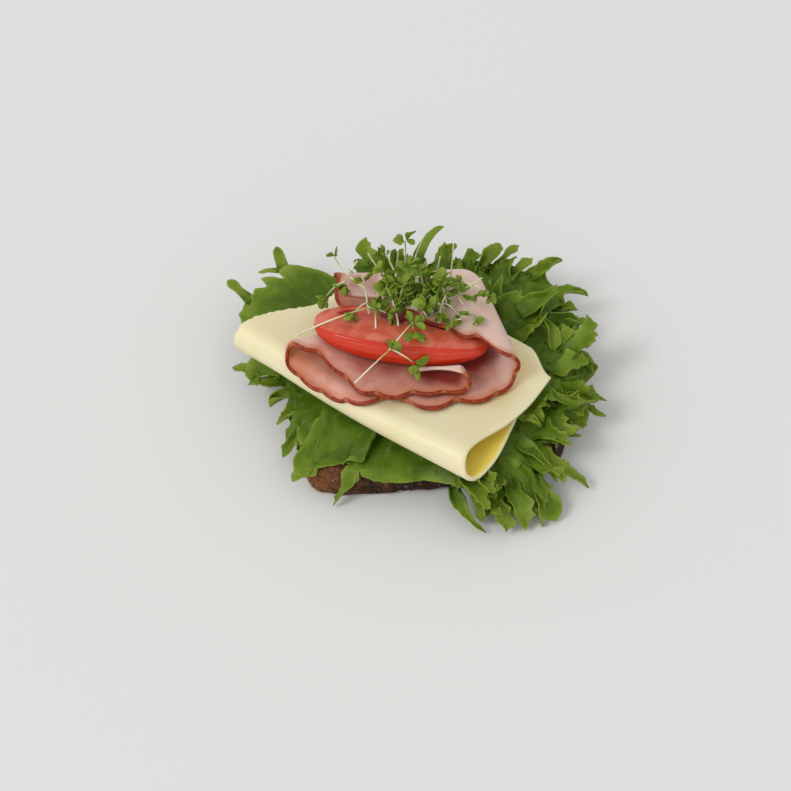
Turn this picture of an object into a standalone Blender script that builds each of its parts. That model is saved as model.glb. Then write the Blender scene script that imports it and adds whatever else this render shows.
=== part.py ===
"""An open sandwich: dark rye bread, frilled lettuce, a folded slice of cheese, folded ham, tomato and cress.

Metres, +Z up. The origin is on the bread's flat underside, close to its middle, and +X runs along
the sandwich's longest side. Every leaf and slice is one closed solid that clears its neighbours by GAP.
"""

import math

import bmesh
import bpy
import numpy as np

MM = 0.001
GAP = 0.35 * MM

# Bread: one square-cut slice with upright sides
BREAD_LENGTH = 92.6 * MM
BREAD_DEPTH = 91.6 * MM
BREAD_HEIGHT = 14.5 * MM
BREAD_TURN = math.radians(7)
BREAD_SQUARENESS = 6.8
BREAD_MIDDLE = (0.8 * MM, -0.5 * MM)

# Lettuce
LEAF_THICKNESS = 0.7 * MM
LEAF_CLEAR = LEAF_THICKNESS / 2 + GAP
LEAF_STACK = LEAF_THICKNESS + GAP + 0.8 * MM
LEAF_UNDER = 2.6 * MM
LEAF_SAG = 0.8
LEAF_RISE = 1.2
LEAF_ROOT = (0.0, -6 * MM)
LEAF_ROWS = 5

# Cheese: one slice folded in two. Its fold runs along CHEESE_ALONG and its layers lie towards CHEESE_ACROSS.
CHEESE_THICKNESS = 1.8 * MM
CHEESE_NOSE = (-63.2 * MM, -1.0 * MM)
CHEESE_HEADING = math.radians(-36)
CHEESE_WIDTH = 98 * MM
CHEESE_BULGE = 1.3 * MM
CHEESE_BOTTOM = 20.0 * MM
CHEESE_LOWER_DEPTH = 50 * MM
CHEESE_UPPER_DEPTH = 59 * MM
CHEESE_SKEW = 0.22
CORNER_ROUND = 0.11
LEFT_DROOP = 1.2 * MM
CORNER_DROOP = 1.8 * MM
# How far the slice reaches left, right, in front of and behind its nose, with a margin for the leaves
# below it.
CHEESE_LEFT = -1 * MM
CHEESE_RIGHT = 102 * MM
CHEESE_FRONT = -3 * MM
CHEESE_BACK = 60 * MM
ROLL_RADIUS_ENDS = 5.2 * MM
ROLL_RADIUS_MIDDLE = 3.7 * MM
ROLL_TAIL = 32 * MM

# Ham: smoked slices with a scalloped rim
HAM_THICKNESS = 1.2 * MM
HAM_LIFT = 1.0 * MM
SCALLOP_DEPTH = 1.7 * MM
SCALLOP_SPAN = 11.0

# Tomato: one wedge, cut face up
TOMATO_LENGTH = 60 * MM
TOMATO_HEADING = -6.0
TOMATO_TILT = 3.5
TOMATO_PLACE = (-6.5 * MM, -4.8 * MM, 31.5 * MM)

# Cress: length, depth and height of its heap above CRESS_PLACE
CRESS_SIZE = (46 * MM, 25 * MM, 16 * MM)
CRESS_PLACE = (-2 * MM, 6.5 * MM, 44.6 * MM)


def clear_scene():
    for obj in list(bpy.data.objects):
        bpy.data.objects.remove(obj, do_unlink=True)


def new_collection(name):
    collection = bpy.data.collections.new(name)
    bpy.context.scene.collection.children.link(collection)
    return collection


def material(name, colour, roughness):
    """A Principled material; food has no metal in it."""
    made = bpy.data.materials.new(name)
    made.use_nodes = True
    shader = made.node_tree.nodes["Principled BSDF"]
    shader.inputs["Base Color"].default_value = (*colour, 1.0)
    shader.inputs["Roughness"].default_value = roughness
    shader.inputs["Metallic"].default_value = 0.0
    return made


def add_object(name, bm, collection, finish):
    mesh = bpy.data.meshes.new(name)
    bm.to_mesh(mesh)
    bm.free()
    mesh.materials.append(finish)
    mesh.shade_smooth()
    obj = bpy.data.objects.new(name, mesh)
    collection.objects.link(obj)
    return obj


def smoothstep(low, high, value):
    t = np.clip((value - low) / (high - low), 0.0, 1.0)
    return t * t * (3.0 - 2.0 * t)


def through(points, where):
    """A smooth curve through (place, value) pairs, read at where."""
    places, values = np.array(points, dtype=float).T
    slopes = np.gradient(values, places)
    where = np.clip(where, places[0], places[-1])
    k = np.clip(np.searchsorted(places, where, side="right") - 1, 0, len(places) - 2)
    span = places[k + 1] - places[k]
    t = (where - places[k]) / span
    rise = values[k + 1] - values[k]
    ease = t * t * (3.0 - 2.0 * t)
    return values[k] + rise * ease + span * t * (1 - t) * ((1 - t) * slopes[k] - t * slopes[k + 1])


def sheet(name, points, thickness, collection, finish):
    """A solid sheet whose middle surface is a grid of points, given as rows by columns by 3."""
    rows, columns = points.shape[0] - 1, points.shape[1] - 1
    bm = bmesh.new()
    bmesh.ops.create_grid(bm, x_segments=columns, y_segments=rows, size=1.0)
    for vert in bm.verts:
        row = round((vert.co.y + 1.0) / 2.0 * rows)
        column = round((vert.co.x + 1.0) / 2.0 * columns)
        vert.co = points[row, column]
    obj = add_object(name, bm, collection, finish)
    shell = obj.modifiers.new("Thickness", "SOLIDIFY")
    shell.thickness = thickness
    shell.offset = 0.0
    return obj


# ---------------------------------------------------------------- bread

def bread(collection):
    """A ball of latitude rings pressed into the slice's section and its square outline."""
    finish = material("rye_bread", (0.135, 0.088, 0.055), 0.85)
    bm = bmesh.new()
    rings = 11
    bmesh.ops.create_uvsphere(bm, u_segments=36, v_segments=rings, radius=1.0)
    # The section from the underside's middle to the top's: reach as a share of the outline, and height.
    section = ((0.0, 0.0), (0.50, 0.0), (0.93, 0.0), (0.975, 0.6 * MM), (0.995, 2.2 * MM), (1.0, 5.5 * MM),
               (0.995, 9.5 * MM), (0.98, 12.6 * MM), (0.94, BREAD_HEIGHT), (0.5, BREAD_HEIGHT),
               (0.25, BREAD_HEIGHT), (0.0, BREAD_HEIGHT))
    for vert in bm.verts:
        ring = round((math.asin(max(-1.0, min(1.0, vert.co.z))) / math.pi + 0.5) * rings)
        share, height = section[ring]
        angle = math.atan2(vert.co.y, vert.co.x)
        reach = float(outline_reach(angle)) * share
        turned = angle + BREAD_TURN
        x = BREAD_MIDDLE[0] + reach * math.cos(turned)
        y = BREAD_MIDDLE[1] + reach * math.sin(turned)
        vert.co = (x, y, height)
    return add_object("bread", bm, collection, finish)


def outline_reach(angle):
    """How far the bread's superelliptic outline is from its middle in a direction."""
    power = BREAD_SQUARENESS
    across = np.abs(np.cos(angle) / (BREAD_LENGTH / 2)) ** power
    along = np.abs(np.sin(angle) / (BREAD_DEPTH / 2)) ** power
    wave = 1.0 + 0.006 * np.sin(3 * angle + 0.6) + 0.005 * np.sin(7 * angle)
    return (across + along) ** (-1.0 / power) * wave


# ---------------------------------------------------------------- lettuce

# Each leaf fans out from LEAF_ROOT over a sector of angles, in degrees. start and crest are (reach, height) in
# millimetres and edge is (angle, reach, height) round its outer edge. lobes are the tips that stand out of the
# edge, as (angle, half width in degrees, reach, height). turns, swing and phase say how it ruffles, calm from
# which share of its reach, and lift how far the ruffles stand above the leaf's own curve at the edge.
LOWER_LEAVES = {
    "lettuce_back": dict(
        sector=(77, 120.5), start=(26, 15.3), crest=(42, 17),
        edge=((77, 51.5, 19), (84, 49.5, 19.5), (100, 51.5, 18.5), (120.5, 51, 16.5)),
        lobes=((109.6, 3.1, 57, 25), (81, 3.9, 55, 30)),
        turns=1.8, swing=40, phase=1.2, calm=0.3, lift=0.6, columns=18),
    "lettuce_back_left": dict(
        sector=(122, 172), start=(26, 15.3), crest=(48, 16),
        edge=((122, 48, 17), (131, 62, 17), (137, 66.5, 17), (147, 66.5, 16), (152, 69, 15.5), (157, 68, 14),
              (165, 63, 13), (172, 57, 12)),
        lobes=((133.4, 3.1, 75, 20), (140.6, 1.9, 62, 16.5), (150.3, 2.9, 79, 18.5)),
        turns=1.5, swing=18, phase=0.4, calm=0.4, lift=0.3, columns=23),
    "lettuce_left": dict(
        sector=(174, 226), start=(26, 15.3), crest=(43, 18),
        edge=((174, 56, 15), (178, 57, 13), (184, 51, 10), (192, 48, 9), (202, 46, 9), (211, 50, 8),
              (226, 48, 9)),
        lobes=((177.5, 3.6, 65, 13), (182, 2.6, 59, 10), (191.8, 3.4, 53, 9), (200.2, 2.9, 52, 8.5),
               (212.4, 3.4, 55.5, 6), (216.5, 2.4, 51.5, 8)),
        turns=2.6, swing=54, phase=0.6, calm=0.25, lift=0.3, columns=25),
    "lettuce_front": dict(
        sector=(236, 282.5), start=(22, 15.3), crest=(38, 17.3),
        edge=((236, 45.5, 11.5), (249, 45, 10.5), (262, 44.2, 10.5), (272, 43.8, 11), (282.5, 46, 12)),
        lobes=((238.8, 2.9, 55.5, 2.5),),
        turns=1.2, swing=15, phase=0.8, calm=0.4, lift=0.6, columns=16),
    "lettuce_front_right": dict(
        sector=(284.5, 319), start=(24, 15.3), crest=(44, 17.6),
        edge=((284.5, 49, 9), (290, 53, 6), (298, 58, 4.5), (305, 61, 3.5), (312, 60, 4.5), (319, 57, 6)),
        lobes=((290.4, 2.4, 62.5, 2.2), (296, 2.9, 65, 3), (301.6, 3.4, 67.5, 2.4), (310.2, 4.7, 70, 2.4)),
        turns=1.9, swing=50, phase=0.3, calm=0.25, lift=0.15, columns=20),
    "lettuce_right_front": dict(
        sector=(321.5, 356), start=(26, 15.3), crest=(44, 17.4),
        edge=((321.5, 49.5, 9), (330, 50, 8), (338, 52, 6), (345, 53, 8), (350, 54, 10.5), (356, 47, 14)),
        lobes=((340.4, 2.6, 57.5, 5), (346.5, 2.4, 66, 9.5), (351, 2.6, 65, 12)),
        turns=1.6, swing=46, phase=2.2, calm=0.25, lift=0.2, columns=18),
    "lettuce_right": dict(
        sector=(358, 378.5), start=(26, 15.3), crest=(44, 17.8),
        edge=((358, 52, 9), (363, 55, 10), (368, 56, 11), (373, 54, 12), (378.5, 51, 13.5)),
        lobes=((362.5, 2.6, 61.5, 9.5), (372.2, 3.1, 61, 12.5)),
        turns=1.5, swing=50, phase=0.9, calm=0.25, lift=0.3, columns=14),
    "lettuce_back_right": dict(
        sector=(20.5, 75), start=(28, 15.3), crest=(46, 16.5),
        edge=((20.5, 58, 11), (27, 57, 13), (34, 61, 15.5), (40, 61, 17), (47, 57, 18), (54, 57, 19),
              (60, 53.5, 20), (66, 49.5, 19), (75, 49.5, 19)),
        lobes=((22.8, 2.6, 65, 10.5), (30, 3.1, 69.5, 15.5), (41, 3.6, 68, 22.5), (48.6, 2.4, 62, 22),
               (54.6, 2.4, 62.5, 24), (60.4, 3.6, 59.5, 24), (67, 3.1, 55, 20.5)),
        turns=2.8, swing=50, phase=0.0, calm=0.3, lift=0.3, columns=29),
}
UPPER_LEAVES = {
    "lettuce_right_upper": dict(
        sector=(11, 47), start=(24, 17), crest=(35, 18),
        edge=((11, 38, 20), (15, 42, 22), (22, 46, 24), (27.5, 51, 26), (32, 46.5, 27), (38, 42, 28),
              (47, 39, 29)),
        lobes=((28, 2.6, 55, 28), (45, 2.4, 41.5, 32)),
        turns=1.2, swing=28, phase=2.4, calm=0.3, lift=1.0, columns=16),
    "lettuce_front_upper": dict(
        sector=(304, 352), start=(26, 17), crest=(42, 18.8),
        edge=((304, 47.5, 14), (310, 50, 12), (318, 51, 12), (325, 52, 12), (330, 45.5, 15.5),
              (336, 43.5, 17.5), (340, 45.5, 17), (344, 49, 16), (352, 42.5, 17)),
        lobes=((317.4, 3.1, 61, 9.5), (324.3, 3.4, 69, 7.5), (342.6, 3.1, 58.5, 16)),
        turns=1.7, swing=36, phase=2.8, calm=0.35, lift=1.0, columns=23),
    "lettuce_front_left": dict(
        sector=(220, 244), start=(20, 17), crest=(38, 20),
        edge=((220, 42, 15), (225, 48, 14), (233, 46.5, 13.5), (239, 43, 14.5), (244, 40, 16)),
        lobes=((224.8, 3.1, 60, 10.5),),
        turns=1.1, swing=24, phase=2.0, calm=0.35, lift=1.0, columns=12),
}


def ruffle(leaf, share):
    """Run along and rise above a straight line for one whose heading swings, in shares of its run."""
    columns, turns, phase = leaf["columns"], leaf["turns"], leaf["phase"]
    steps = 12  # small steps of the run within a column
    t = (np.arange(columns * steps) + 0.5) / (columns * steps)
    uneven = 1.0 + 0.22 * np.sin(2 * np.pi * 1.3 * t + 2.1 * phase)
    swing = math.radians(leaf["swing"]) * smoothstep(leaf["calm"], 1.0, share)
    heading = swing * uneven * np.sin(2 * np.pi * turns * (t + 0.035 * np.sin(7.0 * t + phase)) + phase)
    run = np.concatenate(([0.0], np.cumsum(np.cos(heading))))[::steps]
    rise = np.concatenate(([0.0], np.cumsum(np.sin(heading))))[::steps]
    rise = rise - np.linspace(rise[0], rise[-1], len(rise))
    return run / run[-1], (rise - rise.mean()) / run[-1]


def edge_at(leaf, angle):
    """Reach and height of a leaf's edge, with its lobes, at angles in degrees."""
    angles, reaches, heights = zip(*leaf["edge"])
    reach = through(list(zip(angles, reaches)), angle)
    height = through(list(zip(angles, heights)), angle)
    for place, half, tip_reach, tip_height in leaf["lobes"]:
        near = np.exp(-((angle - place) / half) ** 4)
        reach = reach + (tip_reach - reach) * near
        height = height + (tip_height - height) * near
    return reach, height


def curve(leaf, reach, height, share):
    """The curve from a leaf's start by its crest to its edge: place and unit normal at a share of it."""
    a, b, c = leaf["start"], leaf["crest"], (reach, height)
    place = [a[k] * (1 - share) ** 2 + 2 * b[k] * share * (1 - share) + c[k] * share ** 2 for k in (0, 1)]
    slope = [2 * (b[k] - a[k]) * (1 - share) + 2 * (c[k] - b[k]) * share for k in (0, 1)]
    length = np.hypot(*slope)
    return place[0], place[1], -slope[1] / length, slope[0] / length


def leaf_limits(x, y):
    """How low and how high a leaf's middle surface may be, between the bread or the table and the cheese."""
    across, along = x - BREAD_MIDDLE[0], y - BREAD_MIDDLE[1]
    past_bread = np.hypot(across, along) - outline_reach(np.arctan2(along, across) - BREAD_TURN)
    low = BREAD_HEIGHT + LEAF_CLEAR + 0.3 * MM - LEAF_SAG * np.maximum(past_bread - 2.2 * MM, 0.0)
    low = np.maximum(low, LEAF_CLEAR)
    along, depth = cheese_frame(x, y)
    past_cheese = np.maximum.reduce((along - CHEESE_RIGHT, CHEESE_LEFT - along, CHEESE_FRONT - depth,
                                     depth - CHEESE_BACK))
    high = CHEESE_BOTTOM - cheese_droop(along, depth) - LEAF_CLEAR + LEAF_RISE * np.maximum(past_cheese, 0.0)
    return low, high


def limit_under_upper(x, y):
    """The height that lower leaves must stay under: the upper leaves' own curves, and no limit elsewhere."""
    bearing = np.degrees(np.arctan2(y - LEAF_ROOT[1], x - LEAF_ROOT[0]))
    distance = np.hypot(x - LEAF_ROOT[0], y - LEAF_ROOT[1]) / MM
    height = np.full(x.shape, 1.0)
    for leaf in UPPER_LEAVES.values():
        first, last = leaf["sector"]
        angle = (bearing - first + 60) % 360 + first - 60
        for place in np.argwhere((angle > first - 3) & (angle < last + 3)):
            place = tuple(place)
            reach, tip = edge_at(leaf, np.clip(angle[place], first, last))
            along, up, _, _ = curve(leaf, float(reach), float(tip), np.linspace(0.0, 1.0, 24))
            if distance[place] < along[-1] + 3:
                own = np.interp(distance[place], along, up) * MM
                height[place] = min(own, leaf_limits(x[place], y[place])[1])
    return height


def leaf_points(leaf, is_upper):
    """A fan of lettuce, flat where it starts under the cheese, and ruffled and lobed at its edge."""
    first, last = (math.radians(angle) for angle in leaf["sector"])
    fan = last - first
    rim_run, _ = ruffle(leaf, 1.0)
    reach, height = edge_at(leaf, np.degrees(first + fan * rim_run))
    points = np.empty((LEAF_ROWS + 1, leaf["columns"] + 1, 3))
    for row in range(LEAF_ROWS + 1):
        share = row / LEAF_ROWS
        run, rise = ruffle(leaf, share)
        along, up, out, above = curve(leaf, reach, height, share)
        proud = rise * fan * along.mean()
        lift = 1.0 + (leaf["lift"] - 1.0) * smoothstep(0.6, 1.0, share)
        proud = proud - lift * proud.min()
        angle = first + fan * run
        away = along + out * proud
        points[row, :, 0] = LEAF_ROOT[0] + away * np.cos(angle) * MM
        points[row, :, 1] = LEAF_ROOT[1] + away * np.sin(angle) * MM
        points[row, :, 2] = (up + above * proud) * MM
    x, y = points[..., 0], points[..., 1]
    low, high = leaf_limits(x, y)
    if is_upper:
        low = low + LEAF_STACK
    else:
        high = np.minimum(high, limit_under_upper(x, y) - LEAF_UNDER)
    points[..., 2] = np.clip(points[..., 2], low, np.maximum(high, low))
    return points


def lettuce(collection):
    finish = material("lettuce", (0.115, 0.225, 0.036), 0.5)
    for leaves, is_upper in ((LOWER_LEAVES, False), (UPPER_LEAVES, True)):
        for name, leaf in leaves.items():
            sheet(name, leaf_points(leaf, is_upper), LEAF_THICKNESS, collection, finish)


# ---------------------------------------------------------------- strips bent in their section

def bent_strip(segments, at):
    """Run and rise at distances along a strip that starts level and bends by (length, turn) segments."""
    places = []
    for distance in at:
        run = rise = heading = 0.0
        left = distance
        for length, turn in segments:
            used = min(left, length)
            swing = turn * used / length
            chord = used * (math.sin(swing / 2) / (swing / 2) if swing else 1.0)
            run += chord * math.cos(heading + swing / 2)
            rise += chord * math.sin(heading + swing / 2)
            heading += swing
            left -= used
            if left <= 0:
                break
        places.append((run, rise))
    return np.array(places).T


def roll_radius(along):
    """The cheese's roll is pressed lower in its middle, under the ham."""
    middle = np.exp(-(((along / CHEESE_WIDTH - 0.5) / 0.3) ** 2))
    return ROLL_RADIUS_ENDS + (ROLL_RADIUS_MIDDLE - ROLL_RADIUS_ENDS) * middle


def cheese_section(along, past_nose):
    """Depth behind the nose and height above the lower layer's middle, at distances past the slice's nose.

    The lower layer runs up to the nose, rolls over, and slopes down until the upper layer lies on it.
    """
    radius = roll_radius(along)
    slope = math.atan2(2 * radius - CHEESE_THICKNESS - GAP, ROLL_TAIL)
    flare = 8 * MM
    segments = (
        (CHEESE_LOWER_DEPTH - radius, 0.0),
        ((math.pi + slope) * radius, math.pi + slope),
        (ROLL_TAIL / math.cos(slope) - flare / 2, 0.0),
        (flare, -slope),
        (CHEESE_UPPER_DEPTH, 0.0),
    )
    nose = CHEESE_LOWER_DEPTH - radius + radius * math.pi / 2
    run, rise = bent_strip(segments, nose + np.atleast_1d(past_nose))
    return CHEESE_LOWER_DEPTH - run, rise


def cheese_frame(x, y):
    """Distance along the fold and depth behind it."""
    cos, sin = math.cos(CHEESE_HEADING), math.sin(CHEESE_HEADING)
    along = (x - CHEESE_NOSE[0]) * cos + (y - CHEESE_NOSE[1]) * sin
    depth = (y - CHEESE_NOSE[1]) * cos - (x - CHEESE_NOSE[0]) * sin
    return along, depth


def cheese_droop(along, depth):
    """How far the slice sinks towards its left end and its far right corner."""
    left = LEFT_DROOP * smoothstep(22 * MM, 0.0, along)
    corner = CORNER_DROOP * smoothstep(70 * MM, 97 * MM, along) * smoothstep(38 * MM, 58 * MM, depth)
    return left + corner


def cheese_point(along, depth, height):
    """A place in the cheese's own frame, as world coordinates."""
    behind = depth - CHEESE_BULGE * math.sin(math.pi * min(max(along / CHEESE_WIDTH, 0.0), 1.0))
    cos, sin = math.cos(CHEESE_HEADING), math.sin(CHEESE_HEADING)
    x = CHEESE_NOSE[0] + along * cos - behind * sin
    y = CHEESE_NOSE[1] + along * sin + behind * cos
    return x, y, CHEESE_BOTTOM + CHEESE_THICKNESS / 2 + height - float(cheese_droop(along, behind))


def cheese(collection):
    """The folded slice. Its ends are not square to the fold: the upper layer sits a little to the left."""
    finish = material("cheese", (0.86, 0.76, 0.50), 0.42)
    rolled = 8 * MM
    steps = np.concatenate((
        np.linspace(-(CHEESE_LOWER_DEPTH - rolled), -rolled, 5),
        np.linspace(-rolled, rolled, 9)[1:],
        np.linspace(rolled, 46 * MM, 6)[1:],
        np.linspace(46 * MM, CHEESE_UPPER_DEPTH + 5 * MM, 3)[1:],
    ))
    left = through(((-50 * MM, 9 * MM), (10 * MM, -0.5 * MM), (44 * MM, 11.5 * MM), (66 * MM, 13 * MM)), steps)
    right = through(((-50 * MM, 93 * MM), (-42 * MM, 94.5 * MM), (-34 * MM, 96 * MM), (-8 * MM, 99 * MM),
                     (9 * MM, 93.5 * MM), (30 * MM, 96 * MM), (48 * MM, 96.5 * MM), (66 * MM, 95 * MM)),
                    steps)
    columns = 12
    points = np.empty((len(steps), columns + 1, 3))
    for row in range(len(steps)):
        for column in range(columns + 1):
            share = column / columns
            along = left[row] + (right[row] - left[row]) * share
            skew = CHEESE_SKEW * (1.0 - share) ** 2 + CORNER_ROUND * float(smoothstep(0.84, 1.0, share))
            short = 1.0 - skew * float(smoothstep(10 * MM, 50 * MM, abs(steps[row])))
            depth, height = cheese_section(along, steps[row] * short)
            points[row, column] = cheese_point(along, depth[0], height[0])
    sheet("cheese", points, CHEESE_THICKNESS, collection, finish)


def cheese_top(x, y):
    """Height of the cheese's upper face, carried on level past its far edge."""
    along, depth = cheese_frame(x, y)
    along = min(max(along, 0.0), CHEESE_WIDTH)
    depth += CHEESE_BULGE * math.sin(math.pi * along / CHEESE_WIDTH)
    past = np.linspace(1.5 * MM, CHEESE_UPPER_DEPTH, 80)
    depths, heights = cheese_section(along, past)
    height = np.interp(depth, depths, heights)
    return CHEESE_BOTTOM + CHEESE_THICKNESS + float(height)


# ---------------------------------------------------------------- ham

# Each slice's section starts at origin, runs towards run_heading and bends by its segments of
# (length, turn). front and back give the slice's two edges along edge_heading, as (distance along the
# section, place) pairs, cusps the distances where two scallops of the front edge meet, and plain the
# distance from which that edge has no scallops. Between the first two values of slant, the section comes
# to lean along its run by the third for every millimetre behind its front edge. Lengths are in
# millimetres and angles in degrees.
HAM = {
    "ham_left": dict(
        origin=(-9.5, 0), run_heading=180, edge_heading=90,
        segments=((33, 0), (8.6, 185.5), (31, 0), (4, -5.5), (21.5, 0), (9.6, -190), (16, 0)),
        front=((0, -28.6), (3.5, -30.0), (9, -30.9), (15.3, -29.8), (23.7, -25.8), (31.7, -19.4), (35, -15.8),
               (38, -13.8), (41, -12.4), (45, -13.2), (49.5, -14.4), (53.5, -18.8), (59, -24.2),
               (62.5, -28.2), (69.5, -30.0), (74.5, -30.2), (81.4, -28.4), (91.9, -27.6), (98.1, -26.2), (102.5, -25.0),
               (107, -23.0), (111, -21.2), (117, -20.2), (123.7, -20.8)),
        back=((0, -1), (26.5, -6), (33, -7.5), (36, -9.5), (39, -10.6), (42.5, -10), (47, -7.2),
              (52.5, -3.6), (64.5, -2), (76, -4), (86.5, -10), (95.5, -15), (101, -17.6), (105.5, -18.9),
              (112, -19.2), (117, -18.9), (123.7, -18.8)),
        cusps=(0, 3.5, 15.3, 23.7, 31.7, 40.5, 49.5, 59, 69, 81.4, 91.9, 100.5, 123.7),
        plain=108, slant=(70, 98, 0.4), rows=5),
    "ham_right": dict(
        origin=(-6.4, -33.1), run_heading=18, edge_heading=108,
        segments=((35.5, 0), (22.0, 178), (20, 0)),
        front=((0, 4.0), (1.5, 2.2), (3, 0.6), (6, -1.6), (11, -2.4), (18.6, -2.2), (25, -2.8), (32, -2.4),
               (38.3, 0.6), (43, 2.6), (48, 3.4), (52.3, 2.6), (57.5, 6.5), (61, 12.5), (66.8, 15.8),
               (68.5, 17.8), (72.2, 21.2), (77.5, 26.5)),
        back=((0, 9), (15, 17), (31, 32), (48, 40), (58, 44), (66, 45.5), (77.5, 44)),
        cusps=(0, 3, 18.6, 33, 43, 53, 62, 71, 77.5),
        plain=200, slant=(0, 1, 0), rows=5),
    "ham_back": dict(
        origin=(-28, 4), run_heading=90, edge_heading=0,
        segments=((10.5, 0), (22.5, 184), (7, 0)),
        front=((0, 3), (12, 0), (29, 0), (40, 2)),
        back=((0, 17), (12, 19), (29, 20), (40, 18)),
        cusps=(0, 10, 20, 30, 40),
        plain=200, slant=(0, 1, 0), rows=4),
}


def ham_points(piece):
    """A slice bent in its section and laid over the cheese, with a scalloped front edge."""
    segments = [(length * MM, math.radians(turn)) for length, turn in piece["segments"]]
    cusps = np.array(piece["cusps"], dtype=float)
    phase = np.arange(4 * len(cusps) - 3) / 4
    at = np.interp(phase, np.arange(len(cusps)), cusps)
    span = np.interp(at, (cusps[1:] + cusps[:-1]) / 2, np.diff(cusps))
    arc = np.abs(np.sin(np.pi * phase)) ** 0.8 * smoothstep(piece["plain"], piece["plain"] - 6, at)
    scallop = SCALLOP_DEPTH * span / SCALLOP_SPAN * arc
    run, rise = bent_strip(segments, at * MM)
    front = through(piece["front"], at) * MM - scallop
    back = through(piece["back"], at) * MM
    start, full, lean = piece["slant"]
    run_way, edge_way = (np.array((math.cos(a), math.sin(a))) for a in
                         (math.radians(piece["run_heading"]), math.radians(piece["edge_heading"])))
    shares = np.linspace(0.0, 1.0, piece["rows"] + 1)
    points = np.empty((len(shares), len(at), 3))
    for row, share in enumerate(shares):
        edge = front + (back - front) * share
        ran = run + lean * smoothstep(start, full, at) * (edge - front)
        for column in range(len(at)):
            x, y = np.array(piece["origin"]) * MM + ran[column] * run_way + edge[column] * edge_way
            points[row, column] = (x, y, cheese_top(x, y) + HAM_LIFT + HAM_THICKNESS / 2 + rise[column])
    return points


def ham(collection):
    finish = material("ham", (0.60, 0.30, 0.235), 0.4)
    for name, piece in HAM.items():
        sheet(name, ham_points(piece), HAM_THICKNESS, collection, finish)


# ---------------------------------------------------------------- tomato and cress

def tomato(collection):
    """A wedge lying on its skin: pointed at both ends, with its cut face up and leaning to the front."""
    finish = material("tomato", (0.52, 0.085, 0.035), 0.25)
    # The section at the wedge's middle, from the front edge of its cut face round under the skin, as
    # (depth, height) in millimetres.
    section = ((-11.0, 9.2), (-13.6, 6.4), (-13.2, 3.0), (-9.6, 0.7), (-4.0, 0.0), (2.0, 0.6), (5.8, 2.8),
               (8.2, 5.6), (7.8, 7.2), (4.0, 8.4), (-2.0, 9.4), (-7.6, 9.8))
    rings = 12
    bm = bmesh.new()
    bmesh.ops.create_uvsphere(bm, u_segments=len(section), v_segments=rings, radius=1.0)
    for vert in bm.verts:
        along = -math.cos((0.5 + math.asin(max(-1.0, min(1.0, vert.co.z))) / math.pi) * math.pi)
        girth = (1.0 - along * along) ** 0.42
        turn = math.atan2(vert.co.y, vert.co.x) / (2 * math.pi) * len(section)
        depth, height = section[round(turn) % len(section)]
        vert.co = (along * TOMATO_LENGTH / 2, depth * girth * MM, (4.0 + (height - 4.0) * girth) * MM)
    obj = add_object("tomato", bm, collection, finish)
    obj.location = TOMATO_PLACE
    obj.rotation_euler = (0.0, math.radians(TOMATO_TILT), math.radians(TOMATO_HEADING))
    return obj


def cress(collection):
    """The tuft of cress as one lumpy heap; the leaves and stems fill it out to this outline."""
    finish = material("cress", (0.10, 0.19, 0.03), 0.6)
    bm = bmesh.new()
    bmesh.ops.create_uvsphere(bm, u_segments=20, v_segments=9, radius=1.0)
    length, depth, height = CRESS_SIZE
    for vert in bm.verts:
        angle = math.atan2(vert.co.y, vert.co.x)
        lump = 1.0 + 0.10 * math.sin(5 * angle + 1.0) + 0.07 * math.sin(9 * angle + 4 * vert.co.z)
        x, y = vert.co.x * lump * length / 2, vert.co.y * lump * depth / 2
        up = vert.co.z * (1.0 + 0.12 * math.sin(3 * angle)) if vert.co.z > 0 else vert.co.z * 0.12
        vert.co = (x, y, up * height)
    obj = add_object("cress", bm, collection, finish)
    obj.location = CRESS_PLACE
    return obj


def main():
    clear_scene()
    sandwich = new_collection("open_sandwich")
    bread(sandwich)
    lettuce(sandwich)
    cheese(sandwich)
    ham(sandwich)
    tomato(sandwich)
    cress(sandwich)


main()
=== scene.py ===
"""The looks of the open sandwich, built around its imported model.

Every food piece replaces the plain solid that stands for it. The shapes follow the same rules and sizes
as the solids, with the small frills, teeth, rims, pores, leaves and stems that those leave out. Lengths
are in metres; MM turns the sizes given in millimetres into metres.
"""

import math

import bmesh
import bpy
import numpy as np
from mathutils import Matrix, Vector, noise


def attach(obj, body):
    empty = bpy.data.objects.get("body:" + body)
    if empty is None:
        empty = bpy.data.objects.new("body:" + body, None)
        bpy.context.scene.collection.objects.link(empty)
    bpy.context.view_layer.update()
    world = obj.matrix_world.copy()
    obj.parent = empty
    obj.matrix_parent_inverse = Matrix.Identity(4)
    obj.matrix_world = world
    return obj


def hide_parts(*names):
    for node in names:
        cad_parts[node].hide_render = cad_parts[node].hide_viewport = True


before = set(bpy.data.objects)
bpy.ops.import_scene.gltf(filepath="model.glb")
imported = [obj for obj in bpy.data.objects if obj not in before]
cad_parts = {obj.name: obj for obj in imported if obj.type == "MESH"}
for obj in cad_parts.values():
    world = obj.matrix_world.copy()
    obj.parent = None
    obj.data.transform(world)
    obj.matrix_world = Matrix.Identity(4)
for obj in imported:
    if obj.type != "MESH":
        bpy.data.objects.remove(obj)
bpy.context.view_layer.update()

MM = 0.001
TAU = 2.0 * math.pi
TUBE_SIDES = 6


# ---------------------------------------------------------------- small mathematics

def smoothstep(low, high, value):
    t = np.clip((value - low) / (high - low), 0.0, 1.0)
    return t * t * (3.0 - 2.0 * t)


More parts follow.
